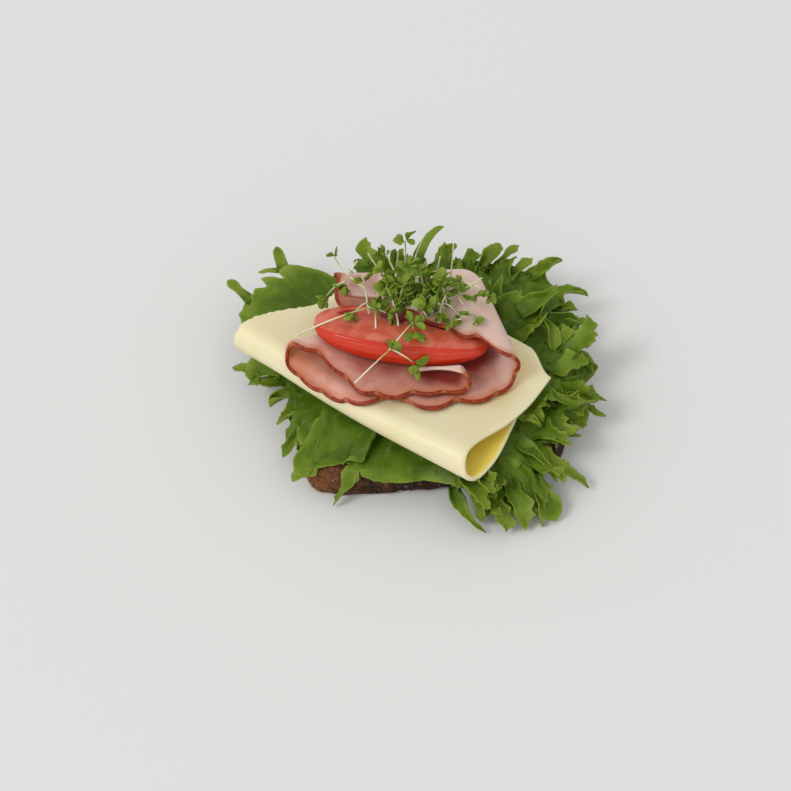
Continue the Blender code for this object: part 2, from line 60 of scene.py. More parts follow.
def through(points, where):
    """A smooth curve through (place, value) pairs, read at where."""
    places, values = np.array(points, dtype=float).T
    slopes = np.gradient(values, places)
    where = np.clip(where, places[0], places[-1])
    k = np.clip(np.searchsorted(places, where, side="right") - 1, 0, len(places) - 2)
    span = places[k + 1] - places[k]
    t = (where - places[k]) / span
    rise = values[k + 1] - values[k]
    ease = t * t * (3.0 - 2.0 * t)
    return values[k] + rise * ease + span * t * (1 - t) * ((1 - t) * slopes[k] - t * slopes[k + 1])


def unit(vectors):
    return vectors / (np.linalg.norm(vectors, axis=-1, keepdims=True) + 1e-12)


class Waves:
    """Smooth noise between about -1 and 1: sine waves in chance directions."""

    def __init__(self, seed, size, dimensions=3, count=14):
        rng = np.random.default_rng(seed)
        ways = unit(rng.normal(size=(count, dimensions)))
        self.waves = ways * (TAU / size) * rng.uniform(0.6, 1.6, (count, 1))
        self.starts = rng.uniform(0.0, TAU, count)

    def at(self, places):
        places = np.asarray(places, dtype=float)
        return np.sin(places @ self.waves.T + self.starts).mean(axis=-1) * 2.2


# ---------------------------------------------------------------- meshes

def sheet_arrays(points, thickness):
    """Corners and four-sided faces of a closed sheet about a grid of middle points (rows by columns by 3)."""
    rows, columns = points.shape[:2]
    normal = unit(np.cross(np.gradient(points, axis=1), np.gradient(points, axis=0)))
    half = normal * (np.broadcast_to(thickness, (rows, columns)) / 2.0)[..., None]
    corners = np.concatenate(((points + half).reshape(-1, 3), (points - half).reshape(-1, 3)))
    index = np.arange(rows * columns).reshape(rows, columns)
    top = np.stack((index[:-1, :-1], index[:-1, 1:], index[1:, 1:], index[1:, :-1]), axis=-1).reshape(-1, 4)
    below = rows * columns
    loop = np.concatenate((index[0, :-1], index[:-1, -1], index[-1, :0:-1], index[:0:-1, 0]))
    after = np.roll(loop, -1)
    rim = np.stack((after, loop, loop + below, after + below), axis=-1)
    return corners, np.concatenate((top, top[:, ::-1] + below, rim))


def tube_arrays(path, radii):
    """Corners and faces of a closed tube with six sides, along a path of points."""
    sides = TUBE_SIDES
    along = unit(np.gradient(path, axis=0))
    guide = np.array((0.0, 0.0, 1.0)) if abs(along[0, 2]) < 0.9 else np.array((1.0, 0.0, 0.0))
    side = unit(np.cross(along, guide))
    other = np.cross(along, side)
    turn = np.arange(sides) / sides * TAU
    ring = np.cos(turn)[None, :, None] * side[:, None] + np.sin(turn)[None, :, None] * other[:, None]
    corners = (path[:, None] + ring * np.asarray(radii)[:, None, None]).reshape(-1, 3)
    index = np.arange(len(path) * sides).reshape(len(path), sides)
    beside = np.roll(index, -1, axis=1)
    walls = np.stack((index[:-1], index[1:], beside[1:], beside[:-1]), axis=-1).reshape(-1, 4)
    caps = np.array(((0, 1, 2, 3), (0, 3, 4, 5)))
    return corners, np.concatenate((walls, caps, caps[:, ::-1] + index[-1, 0]))


def add_piece(name, parts, finish, replaced):
    """One shown piece from parts, each (corners, faces, {attribute: value at each corner})."""
    corners, faces, start = [], [], 0
    for part in parts:
        corners.append(part[0])
        faces.append(part[1] + start)
        start += len(part[0])
    mesh = bpy.data.meshes.new(name)
    mesh.from_pydata(np.concatenate(corners).tolist(), [], np.concatenate(faces).tolist())
    for key in parts[0][2]:
        values = np.concatenate([np.broadcast_to(part[2][key], len(part[0])) for part in parts])
        set_attribute(mesh, key, values.astype(np.float32))
    mesh.shade_smooth()
    mesh.validate()
    finish_piece(name, mesh, finish, replaced)


def set_attribute(mesh, key, values):
    mesh.attributes.new(key, "FLOAT", "POINT").data.foreach_set("value", values)


def ball_mesh(name, bm, attributes):
    """The mesh of a shaped ball, with a value at each corner for each attribute."""
    mesh = bpy.data.meshes.new(name)
    bm.to_mesh(mesh)
    bm.free()
    for key, values in attributes.items():
        set_attribute(mesh, key, values)
    mesh.shade_smooth()
    return mesh


def finish_piece(name, mesh, finish, replaced, place=(0.0, 0.0, 0.0), turn=(0.0, 0.0, 0.0)):
    """Puts a piece in the scene, riding on the root and for the solid it replaces, if any."""
    mesh.materials.append(finish)
    piece = bpy.data.objects.new(name, mesh)
    bpy.context.scene.collection.objects.link(piece)
    piece.location = place
    piece.rotation_euler = turn
    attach(piece, "root")
    if replaced:
        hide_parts(replaced)


def both_sides(grid):
    """A value on a sheet's grid, for its upper and its lower corners."""
    return np.concatenate((grid.ravel(), grid.ravel()))


# ---------------------------------------------------------------- materials

class Recipe:
    """A material being put together. Each method adds a node and returns its output."""

    def __init__(self, name):
        self.material = bpy.data.materials.new(name)
        self.material.use_nodes = True
        self.tree = self.material.node_tree
        self.shader = self.tree.nodes["Principled BSDF"]
        self.place = self.tree.nodes.new("ShaderNodeTexCoord").outputs["Object"]

    def join(self, value, socket):
        if isinstance(value, bpy.types.NodeSocket):
            self.tree.links.new(value, socket)
        elif isinstance(value, tuple) and len(value) == 3 and len(socket.default_value) == 4:
            socket.default_value = (*value, 1.0)
        else:
            socket.default_value = value

    def add(self, kind, inputs, output, **settings):
        node = self.tree.nodes.new(kind)
        for key, value in settings.items():
            setattr(node, key, value)
        for key, value in inputs.items():
            self.join(value, node.inputs[key])
        return node.outputs[output]

    def set(self, **inputs):
        for key, value in inputs.items():
            self.join(value, self.shader.inputs[key.replace("_", " ")])

    def attribute(self, name):
        return self.add("ShaderNodeAttribute", {}, "Fac", attribute_name=name)

    def stretched(self, scale):
        """The piece's own coordinates, scaled differently along each axis."""
        return self.add("ShaderNodeMapping", {"Vector": self.place, "Scale": scale}, "Vector")

    def noise(self, size, detail=4.0, rough=0.55, place=None):
        inputs = {"Vector": place or self.place, "Scale": 1.0 / size, "Detail": detail, "Roughness": rough}
        return self.add("ShaderNodeTexNoise", inputs, "Fac")

    def math(self, operation, a, b=0.0, clamp=False):
        return self.add("ShaderNodeMath", {0: a, 1: b}, 0, operation=operation, use_clamp=clamp)

    def between(self, value, low, high, to_low=0.0, to_high=1.0):
        """The value's smooth place between low and high, as a number from to_low to to_high."""
        inputs = {"Value": value, "From Min": low, "From Max": high, "To Min": to_low, "To Max": to_high}
        return self.add("ShaderNodeMapRange", inputs, "Result", interpolation_type="SMOOTHSTEP")

    def mix(self, share, a, b, blend="MIX"):
        node = self.tree.nodes.new("ShaderNodeMix")
        node.data_type = "RGBA"
        node.blend_type = blend
        for key, value in (("Factor_Float", share), ("A_Color", a), ("B_Color", b)):
            self.join(value, next(socket for socket in node.inputs if socket.identifier == key))
        return next(socket for socket in node.outputs if socket.identifier == "Result_Color")

    def bump(self, height, distance, strength):
        inputs = {"Height": height, "Distance": distance, "Strength": strength}
        return self.add("ShaderNodeBump", inputs, "Normal")

    def let_through(self, colour, share):
        """Lets light from behind shine through the piece."""
        glow = self.add("ShaderNodeBsdfTranslucent", {"Color": colour}, "BSDF")
        both = self.add("ShaderNodeMixShader", {0: share, 1: self.shader.outputs["BSDF"], 2: glow}, "Shader")
        self.tree.links.new(both, self.tree.nodes["Material Output"].inputs["Surface"])


def rye_bread():
    recipe = Recipe("rye_bread")
    coarse = recipe.noise(9 * MM, 5.0)
    fine = recipe.noise(0.9 * MM, 6.0, 0.7)
    crumb = recipe.mix(recipe.between(fine, 0.35, 0.7), (0.012, 0.0052, 0.0026), (0.078, 0.034, 0.015))
    crust = recipe.mix(recipe.between(fine, 0.3, 0.7), (0.17, 0.050, 0.011), (0.42, 0.165, 0.055))
    browned = recipe.between(coarse, 0.52, 0.68, 0.0, 0.5)
    worn = recipe.math("ADD", browned, recipe.attribute("crust"), clamp=True)
    colour = recipe.mix(worn, crumb, crust)
    flour = recipe.between(recipe.noise(1.5 * MM, 5.0, 0.75), 0.56, 0.68)
    patches = recipe.between(recipe.noise(7 * MM, 3.0), 0.42, 0.62)
    floury = recipe.math("MULTIPLY", flour, patches)
    colour = recipe.mix(recipe.math("MULTIPLY", floury, 0.62), colour, (0.50, 0.43, 0.35))
    # Painted shade: the pores are coloured near black, standing in for the shade inside them.
    colour = recipe.mix(recipe.attribute("pore"), colour, (0.018, 0.009, 0.006))
    relief = recipe.math("ADD", recipe.noise(0.7 * MM, 5.0, 0.7), recipe.noise(2.2 * MM, 4.0))
    recipe.set(Base_Color=colour, Roughness=0.85, Specular_IOR_Level=0.25,
               Normal=recipe.bump(relief, 0.5 * MM, 0.8))
    return recipe.material


def lettuce_leaf():
    recipe = Recipe("lettuce")
    edge = recipe.attribute("edge")
    vein = recipe.attribute("vein")
    patch = recipe.noise(11 * MM, 3.0)
    blade = recipe.mix(recipe.between(patch, 0.35, 0.65), (0.080, 0.155, 0.005), (0.150, 0.255, 0.011))
    # The margin is paler yellow-green than the blade, partly its own colour and partly painted light on its lit
    # edges.
    margin_and_painted_light = recipe.mix(recipe.between(patch, 0.4, 0.6), (0.23, 0.36, 0.018), (0.36, 0.49, 0.045))
    colour = recipe.mix(recipe.between(edge, 0.78, 1.0, 0.0, 0.62), blade, margin_and_painted_light)
    # Painted highlight: a bright line along the outermost rim.
    colour = recipe.mix(recipe.between(edge, 0.965, 1.0, 0.0, 0.4), colour, (0.45, 0.55, 0.10))
    colour = recipe.mix(recipe.math("MULTIPLY", vein, 0.45), colour, (0.26, 0.38, 0.07))
    speckle = recipe.noise(0.8 * MM, 3.0, 0.6)
    colour = recipe.mix(recipe.between(speckle, 0.3, 0.7, 0.0, 0.35), colour, (0.095, 0.17, 0.006))
    pucker = recipe.math("ADD", recipe.noise(1.6 * MM, 3.0, 0.5), recipe.math("MULTIPLY", vein, 0.5))
    normal = recipe.bump(pucker, 0.35 * MM, 0.55)
    recipe.set(Base_Color=colour, Roughness=0.46, Specular_IOR_Level=0.28, Normal=normal)
    recipe.let_through(recipe.mix(1.0, colour, (1.6, 1.5, 0.3), "MULTIPLY"), 0.3)
    return recipe.material


def yellow_cheese():
    recipe = Recipe("cheese")
    soft = recipe.noise(22 * MM, 2.0)
    colour = recipe.mix(recipe.between(soft, 0.35, 0.65), (0.83, 0.73, 0.44), (0.86, 0.77, 0.50))
    # Painted bounce light: the inner face of the roll is coloured deep gold, as light bounced within it.
    colour = recipe.mix(recipe.attribute("hollow_bounce_glow"), colour, (0.88, 0.68, 0.10))
    # Painted shade and reflected light: near the ham's bend the cheese is darker and more orange.
    colour = recipe.mix(recipe.attribute("warm"), colour, (0.82, 0.62, 0.27))
    grain = recipe.noise(0.6 * MM, 3.0, 0.6)
    normal = recipe.bump(recipe.math("ADD", grain, recipe.noise(5 * MM, 2.0)), 0.06 * MM, 0.6)
    recipe.set(Base_Color=colour, Roughness=recipe.between(grain, 0.3, 0.7, 0.36, 0.48), Normal=normal,
               Subsurface_Weight=0.5, Subsurface_Radius=(1.0, 0.62, 0.14), Subsurface_Scale=3.0 * MM)
    return recipe.material


def smoked_ham():
    recipe = Recipe("ham")
    edge = recipe.attribute("edge")
    mottle = recipe.between(recipe.noise(6 * MM, 4.0), 0.35, 0.65)
    meat = recipe.mix(mottle, (0.63, 0.275, 0.205), (0.71, 0.38, 0.30))
    strands = recipe.noise(2.4 * MM, 4.0, 0.6, recipe.stretched((1.0, 3.0, 1.0)))
    meat = recipe.mix(recipe.between(strands, 0.55, 0.75, 0.0, 0.5), meat, (0.74, 0.47, 0.39))
    meat = recipe.mix(recipe.attribute("pale"), meat, (0.74, 0.56, 0.47))
    # Painted light: paler where light falls on the ham's bend, drape and back fold.
    meat = recipe.mix(recipe.math("MULTIPLY", recipe.attribute("painted_light"), 0.75), meat, (0.76, 0.58, 0.49))
    # Orange-brown: a tint along ham_back's front edge, and painted shade with warm bounced light inside
    # ham_left's left bend.
    meat = recipe.mix(recipe.attribute("edge_tint_and_bend_shade"), meat, (0.52, 0.175, 0.075))
    # Painted shade: dark red in the hollows and folds and beside the tomato, where shade falls.
    meat = recipe.mix(recipe.math("MULTIPLY", recipe.attribute("deep"), 0.92), meat, (0.27, 0.014, 0.003))
    near = recipe.math("ADD", edge, recipe.math("MULTIPLY", recipe.noise(1.5 * MM, 3.0), 0.6 * MM))
    blush = recipe.between(near, 1.9 * MM, 4.6 * MM, 0.6, 0.0)
    meat = recipe.mix(blush, meat, (0.62, 0.20, 0.09))
    mottle = recipe.between(recipe.noise(1.6 * MM, 4.0), 0.35, 0.65)
    rind = recipe.mix(mottle, (0.20, 0.015, 0.002), (0.36, 0.045, 0.006))
    rind = recipe.mix(recipe.math("ADD", recipe.math("MULTIPLY", recipe.attribute("arc"), 0.6), 0.4),
                      (0.55, 0.20, 0.065), rind)
    colour = recipe.mix(recipe.between(near, 1.1 * MM, 1.9 * MM, 1.0, 0.0), meat, rind)
    relief = recipe.math("ADD", recipe.noise(0.8 * MM, 4.0), recipe.noise(3.5 * MM, 3.0))
    recipe.set(Base_Color=colour, Roughness=0.44, Specular_IOR_Level=0.35,
               Normal=recipe.bump(relief, 0.14 * MM, 0.6),
               Subsurface_Weight=0.15, Subsurface_Radius=(1.0, 0.35, 0.22), Subsurface_Scale=1.2 * MM)
    return recipe.material


def ripe_tomato():
    recipe = Recipe("tomato")
    face = recipe.attribute("face")
    gel = recipe.attribute("gel")
    mottle = recipe.between(recipe.noise(5 * MM, 4.0), 0.35, 0.65)
    flesh = recipe.mix(mottle, (0.60, 0.085, 0.038), (0.68, 0.17, 0.095))
    flesh = recipe.mix(gel, flesh, (0.30, 0.010, 0.003))
    colour = recipe.mix(face, (0.62, 0.030, 0.003), flesh)
    relief = recipe.math("MULTIPLY", face, recipe.noise(1.2 * MM, 4.0))
    recipe.set(Base_Color=colour, Roughness=recipe.between(face, 0.0, 1.0, 0.2, 0.32),
               Normal=recipe.bump(relief, 0.2 * MM, 0.6),
               Subsurface_Weight=0.25, Subsurface_Radius=(1.0, 0.2, 0.1), Subsurface_Scale=2.0 * MM)
    return recipe.material


def cress_leaflet():
    recipe = Recipe("cress_leaf")
    tint = recipe.attribute("tint")
    rib = recipe.attribute("rib")
    colour = recipe.mix(tint, (0.15, 0.25, 0.010), (0.34, 0.46, 0.045))
    colour = recipe.mix(recipe.math("MULTIPLY", rib, 0.5), colour, (0.36, 0.46, 0.14))
    recipe.set(Base_Color=colour, Roughness=0.5, Specular_IOR_Level=0.3,
               Normal=recipe.bump(recipe.noise(0.9 * MM, 3.0), 0.12 * MM, 0.5))
    recipe.let_through(recipe.mix(1.0, colour, (1.5, 1.4, 0.3), "MULTIPLY"), 0.3)
    return recipe.material


def cress_stalk():
    recipe = Recipe("cress_stem")
    pale = recipe.mix(recipe.noise(3 * MM, 3.0), (0.70, 0.70, 0.42), (0.80, 0.80, 0.58))
    colour = recipe.mix(recipe.attribute("green"), pale, (0.36, 0.46, 0.12))
    recipe.set(Base_Color=colour, Roughness=0.35, Subsurface_Weight=0.2, Subsurface_Scale=0.5 * MM)
    return recipe.material


# ---------------------------------------------------------------- bread

BREAD_LENGTH = 92.6 * MM
BREAD_DEPTH = 91.6 * MM
BREAD_HEIGHT = 14.5 * MM
BREAD_TURN = math.radians(7)
BREAD_SQUARENESS = 6.8
BREAD_MIDDLE = (0.8 * MM, -0.5 * MM)
# Reach as a share of the outline, and height, from the underside's middle round the crust to the top's.
BREAD_SECTION = ((0.0, 0.0), (0.50, 0.0), (0.93, 0.0), (0.975, 0.6 * MM), (0.995, 2.2 * MM), (1.0, 5.5 * MM),
                 (0.995, 9.5 * MM), (0.98, 12.6 * MM), (0.94, BREAD_HEIGHT), (0.5, BREAD_HEIGHT),
                 (0.25, BREAD_HEIGHT), (0.0, BREAD_HEIGHT))


def outline_reach(angle):
    """How far the bread's superelliptic outline is from its middle in a direction."""
    power = BREAD_SQUARENESS
    across = np.abs(np.cos(angle) / (BREAD_LENGTH / 2)) ** power
    along = np.abs(np.sin(angle) / (BREAD_DEPTH / 2)) ** power
    wave = 1.0 + 0.006 * np.sin(3 * angle + 0.6) + 0.005 * np.sin(7 * angle)
    return (across + along) ** (-1.0 / power) * wave


def bread():
    """A slice of dark rye bread, with a rough, open-pored side that is browner at one corner; painted shade
    darkens its pores.
    """
    rings = 84
    bm = bmesh.new()
    bmesh.ops.create_uvsphere(bm, u_segments=300, v_segments=rings, radius=1.0)
    shares, heights = np.array(BREAD_SECTION).T
    # Most rings go to the side, where the crust shows.
    stops = np.interp(np.linspace(0.0, 1.0, rings + 1), (0.0, 0.14, 0.82, 1.0), (0.0, 1.9, 8.6, 11.0))
    section_share = np.interp(stops, np.arange(len(shares)), shares)
    section_height = np.interp(stops, np.arange(len(heights)), heights)
    for vert in bm.verts:
        ring = round((math.asin(max(-1.0, min(1.0, vert.co.z))) / math.pi + 0.5) * rings)
        angle = math.atan2(vert.co.y, vert.co.x)
        reach = float(outline_reach(angle)) * section_share[ring]
        x = BREAD_MIDDLE[0] + reach * math.cos(angle + BREAD_TURN)
        y = BREAD_MIDDLE[1] + reach * math.sin(angle + BREAD_TURN)
        vert.co = (x, y, section_height[ring])
    bm.normal_update()
    pores, crusts = [], []
    for vert in bm.verts:
        place = vert.co / MM
        corner = math.hypot(vert.co.x + BREAD_LENGTH / 2, vert.co.y + BREAD_DEPTH / 2)
        crusts.append(float(smoothstep(30 * MM, 6 * MM, corner)) * 0.75)
        low = vert.normal.z < -0.9
        swell = 0.7 * noise.fractal(place / 7.0, 0.8, 2.0, 3)
        near = noise.voronoi(place / 2.3)[0][0]
        # pore sinks the surface and also marks where the colour is darkened as painted shade.
        pore = float(smoothstep(0.34, 0.12, near)) * float(smoothstep(-0.2, 0.25, noise.noise(place / 5.0)))
        grit = 0.28 * noise.fractal(place / 1.1, 0.7, 2.0, 3)
        raised = swell + grit - 1.5 * pore
        if vert.normal.z > 0.5:
            raised = min(raised - 0.7, -0.1)
        vert.co += vert.normal * raised * MM * (0.15 if low else 1.0)
        vert.co.z = max(vert.co.z, 0.0)
        pores.append(pore)
    mesh = ball_mesh("rye_bread", bm, {"pore": pores, "crust": crusts})
    finish_piece("rye_bread", mesh, rye_bread(), "bread")


# ---------------------------------------------------------------- strips bent in their section

def bent_strip(segments, at):
    """Run and rise at distances along a strip that starts level and bends by (length, turn) segments."""
    at = np.atleast_1d(np.asarray(at, dtype=float))
    run, rise, heading, left = np.zeros_like(at), np.zeros_like(at), np.zeros_like(at), at.copy()
    for place, (length, turn) in enumerate(segments):
        last = place == len(segments) - 1
        used = left if last else np.clip(left, 0.0, length)
        swing = turn * used / length
        chord = used * np.sinc(swing / TAU)
        run += chord * np.cos(heading + swing / 2)
        rise += chord * np.sin(heading + swing / 2)
        heading += swing
        left = left - used
    return run, rise


# ---------------------------------------------------------------- cheese

CHEESE_THICKNESS = 1.8 * MM
CHEESE_NOSE = (-63.2 * MM, -1.0 * MM)
CHEESE_HEADING = math.radians(-36)
CHEESE_WIDTH = 98 * MM
CHEESE_BULGE = 1.3 * MM
CHEESE_BOTTOM = 20.0 * MM
CHEESE_LOWER_DEPTH = 50 * MM
CHEESE_UPPER_DEPTH = 59 * MM
CHEESE_SKEW = 0.22
CORNER_ROUND = 0.11
ROLL_RADIUS_ENDS = 5.2 * MM
ROLL_RADIUS_MIDDLE = 3.7 * MM
ROLL_TAIL = 32 * MM
GAP = 0.35 * MM


def cheese_section(along, past_nose):
    """Depth behind the nose and height above the lower layer's middle, at distances past the slice's nose."""
    middle = math.exp(-(((along / CHEESE_WIDTH - 0.5) / 0.3) ** 2))
    radius = ROLL_RADIUS_ENDS + (ROLL_RADIUS_MIDDLE - ROLL_RADIUS_ENDS) * middle
    slope = math.atan2(2 * radius - CHEESE_THICKNESS - GAP, ROLL_TAIL)
    flare = 8 * MM
    segments = (
        (CHEESE_LOWER_DEPTH - radius, 0.0),
        ((math.pi + slope) * radius, math.pi + slope),
        (ROLL_TAIL / math.cos(slope) - flare / 2, 0.0),
        (flare, -slope),
        (CHEESE_UPPER_DEPTH, 0.0),
    )
    nose = CHEESE_LOWER_DEPTH - radius + radius * math.pi / 2
    run, rise = bent_strip(segments, nose + np.atleast_1d(past_nose))
    return CHEESE_LOWER_DEPTH - run, rise


def cheese_frame(x, y):
    """Distance along the fold and depth behind it."""
    cos, sin = math.cos(CHEESE_HEADING), math.sin(CHEESE_HEADING)
    along = (x - CHEESE_NOSE[0]) * cos + (y - CHEESE_NOSE[1]) * sin
    depth = (y - CHEESE_NOSE[1]) * cos - (x - CHEESE_NOSE[0]) * sin
    return along, depth


def cheese():
    """The folded slice, with rounded cut edges; its left edge is a little torn."""
    rolled = 8 * MM
    lines = (0.0, 0.3 * MM, 0.8 * MM)
    low, high = -(CHEESE_LOWER_DEPTH - rolled), CHEESE_UPPER_DEPTH + 5 * MM
    steps = np.concatenate((
        np.add(low, lines),
        np.linspace(low + 2 * MM, -rolled, 16),
        np.linspace(-rolled, rolled, 34)[1:],
        np.linspace(rolled, high - 2 * MM, 52)[1:],
        np.subtract(high, lines)[::-1],
    ))
    left = through(((-50 * MM, 9 * MM), (10 * MM, -0.5 * MM), (44 * MM, 11.5 * MM), (66 * MM, 13 * MM)),
                   steps)
    right = through(((-50 * MM, 93 * MM), (-42 * MM, 94.5 * MM), (-34 * MM, 96 * MM), (-8 * MM, 99 * MM),
                     (9 * MM, 93.5 * MM), (30 * MM, 96 * MM), (48 * MM, 96.5 * MM), (66 * MM, 95 * MM)),
                    steps)
    torn = Waves(4, 5.0 * MM, 1).at(steps[:, None]) + 0.6 * Waves(5, 2.0 * MM, 1).at(steps[:, None])
    left = left + torn * 0.45 * MM * smoothstep(0.0, 14 * MM, steps)
    edge_shares = np.array((0.0, 0.003, 0.008, 0.018))
    shares = np.concatenate((edge_shares, np.linspace(0.03, 0.97, 84), 1.0 - edge_shares[::-1]))
    along = left[:, None] + (right - left)[:, None] * shares[None, :]
    points = np.empty((len(steps), len(shares), 3))
    skew = CHEESE_SKEW * (1.0 - shares) ** 2 + CORNER_ROUND * smoothstep(0.84, 1.0, shares)
    short = 1.0 - skew[None, :] * smoothstep(10 * MM, 50 * MM, np.abs(steps))[:, None]
    for row in range(len(steps)):
        for column in range(len(shares)):
            depth, height = cheese_section(along[row, column], steps[row] * short[row, column])
            points[row, column, 1:] = depth[0], height[0]
    bulge = CHEESE_BULGE * np.sin(math.pi * np.clip(along / CHEESE_WIDTH, 0.0, 1.0))
    depth = points[:, :, 1] - bulge
    height = points[:, :, 2] - 1.2 * MM * smoothstep(22 * MM, 0.0, along)
    sag = Waves(9, 46 * MM, 2).at(np.stack((along, depth), axis=-1))
    height = height + sag * 0.35 * MM * smoothstep(4 * MM, 20 * MM, steps)[:, None]
    height = height - 1.8 * MM * smoothstep(70 * MM, 97 * MM, along) * smoothstep(38 * MM, 58 * MM, depth)
    cos, sin = math.cos(CHEESE_HEADING), math.sin(CHEESE_HEADING)
    points[:, :, 0] = CHEESE_NOSE[0] + along * cos - depth * sin
    points[:, :, 1] = CHEESE_NOSE[1] + along * sin + depth * cos
    points[:, :, 2] = CHEESE_BOTTOM + CHEESE_THICKNESS / 2 + height
    inside = np.minimum(np.minimum(steps - low, high - steps)[:, None],
                        np.minimum(shares, 1.0 - shares)[None, :] * (right - left)[:, None])
    thickness = CHEESE_THICKNESS * (0.62 + 0.38 * smoothstep(0.0, 0.8 * MM, inside))
    corners, faces = sheet_arrays(points, thickness)
    # The inner face inside the roll gets a deep gold colour, painted bounce light.
    rolled_in = smoothstep(-40 * MM, -30 * MM, steps) * smoothstep(34 * MM, 24 * MM, steps)
    hollow_bounce_glow = rolled_in[:, None] * smoothstep(70 * MM, 88 * MM, along) * smoothstep(0.2 * MM, 1.0 * MM, inside)
    hollow_bounce_glow = np.concatenate((0.0 * hollow_bounce_glow.ravel(), hollow_bounce_glow.ravel()))
    # Near the ham's bend, painted shade with the ham's reflected colour.
    warm = smoothstep(60 * MM, 84 * MM, along) * smoothstep(20 * MM, 34 * MM, depth)
    warm = warm * smoothstep(2 * MM, 12 * MM, right[:, None] - along) * smoothstep(58 * MM, 48 * MM, depth)
    values = {"hollow_bounce_glow": hollow_bounce_glow, "warm": 0.75 * both_sides(warm)}
    add_piece("cheese_slice", [(corners, faces, values)], yellow_cheese(), "cheese")


class CheeseTop:
    """Height of the cheese's upper face at any place, carried on level past its far edge."""

    def __init__(self):
        self.alongs = np.linspace(0.0, CHEESE_WIDTH, 40)
        past = np.linspace(1.5 * MM, CHEESE_UPPER_DEPTH, 120)
        self.sections = [cheese_section(along, past) for along in self.alongs]

    def at(self, x, y):
        along, depth = cheese_frame(x, y)
        along = np.clip(along, 0.0, CHEESE_WIDTH)
        depth = depth + CHEESE_BULGE * np.sin(math.pi * along / CHEESE_WIDTH)
        table = np.stack([np.interp(depth, depths, heights) for depths, heights in self.sections])
        place = along / CHEESE_WIDTH * (len(self.alongs) - 1)
        low = np.clip(place.astype(int), 0, len(self.alongs) - 2)
        share = place - low
        height = (np.take_along_axis(table, low[None], axis=0)[0] * (1 - share)
                  + np.take_along_axis(table, low[None] + 1, axis=0)[0] * share)
        return CHEESE_BOTTOM + CHEESE_THICKNESS + height


# ---------------------------------------------------------------- lettuce

LEAF_ROOT = (0.0, -6 * MM)
LEAF_STEP = 0.6 * MM
LEAF_ROWS = 38

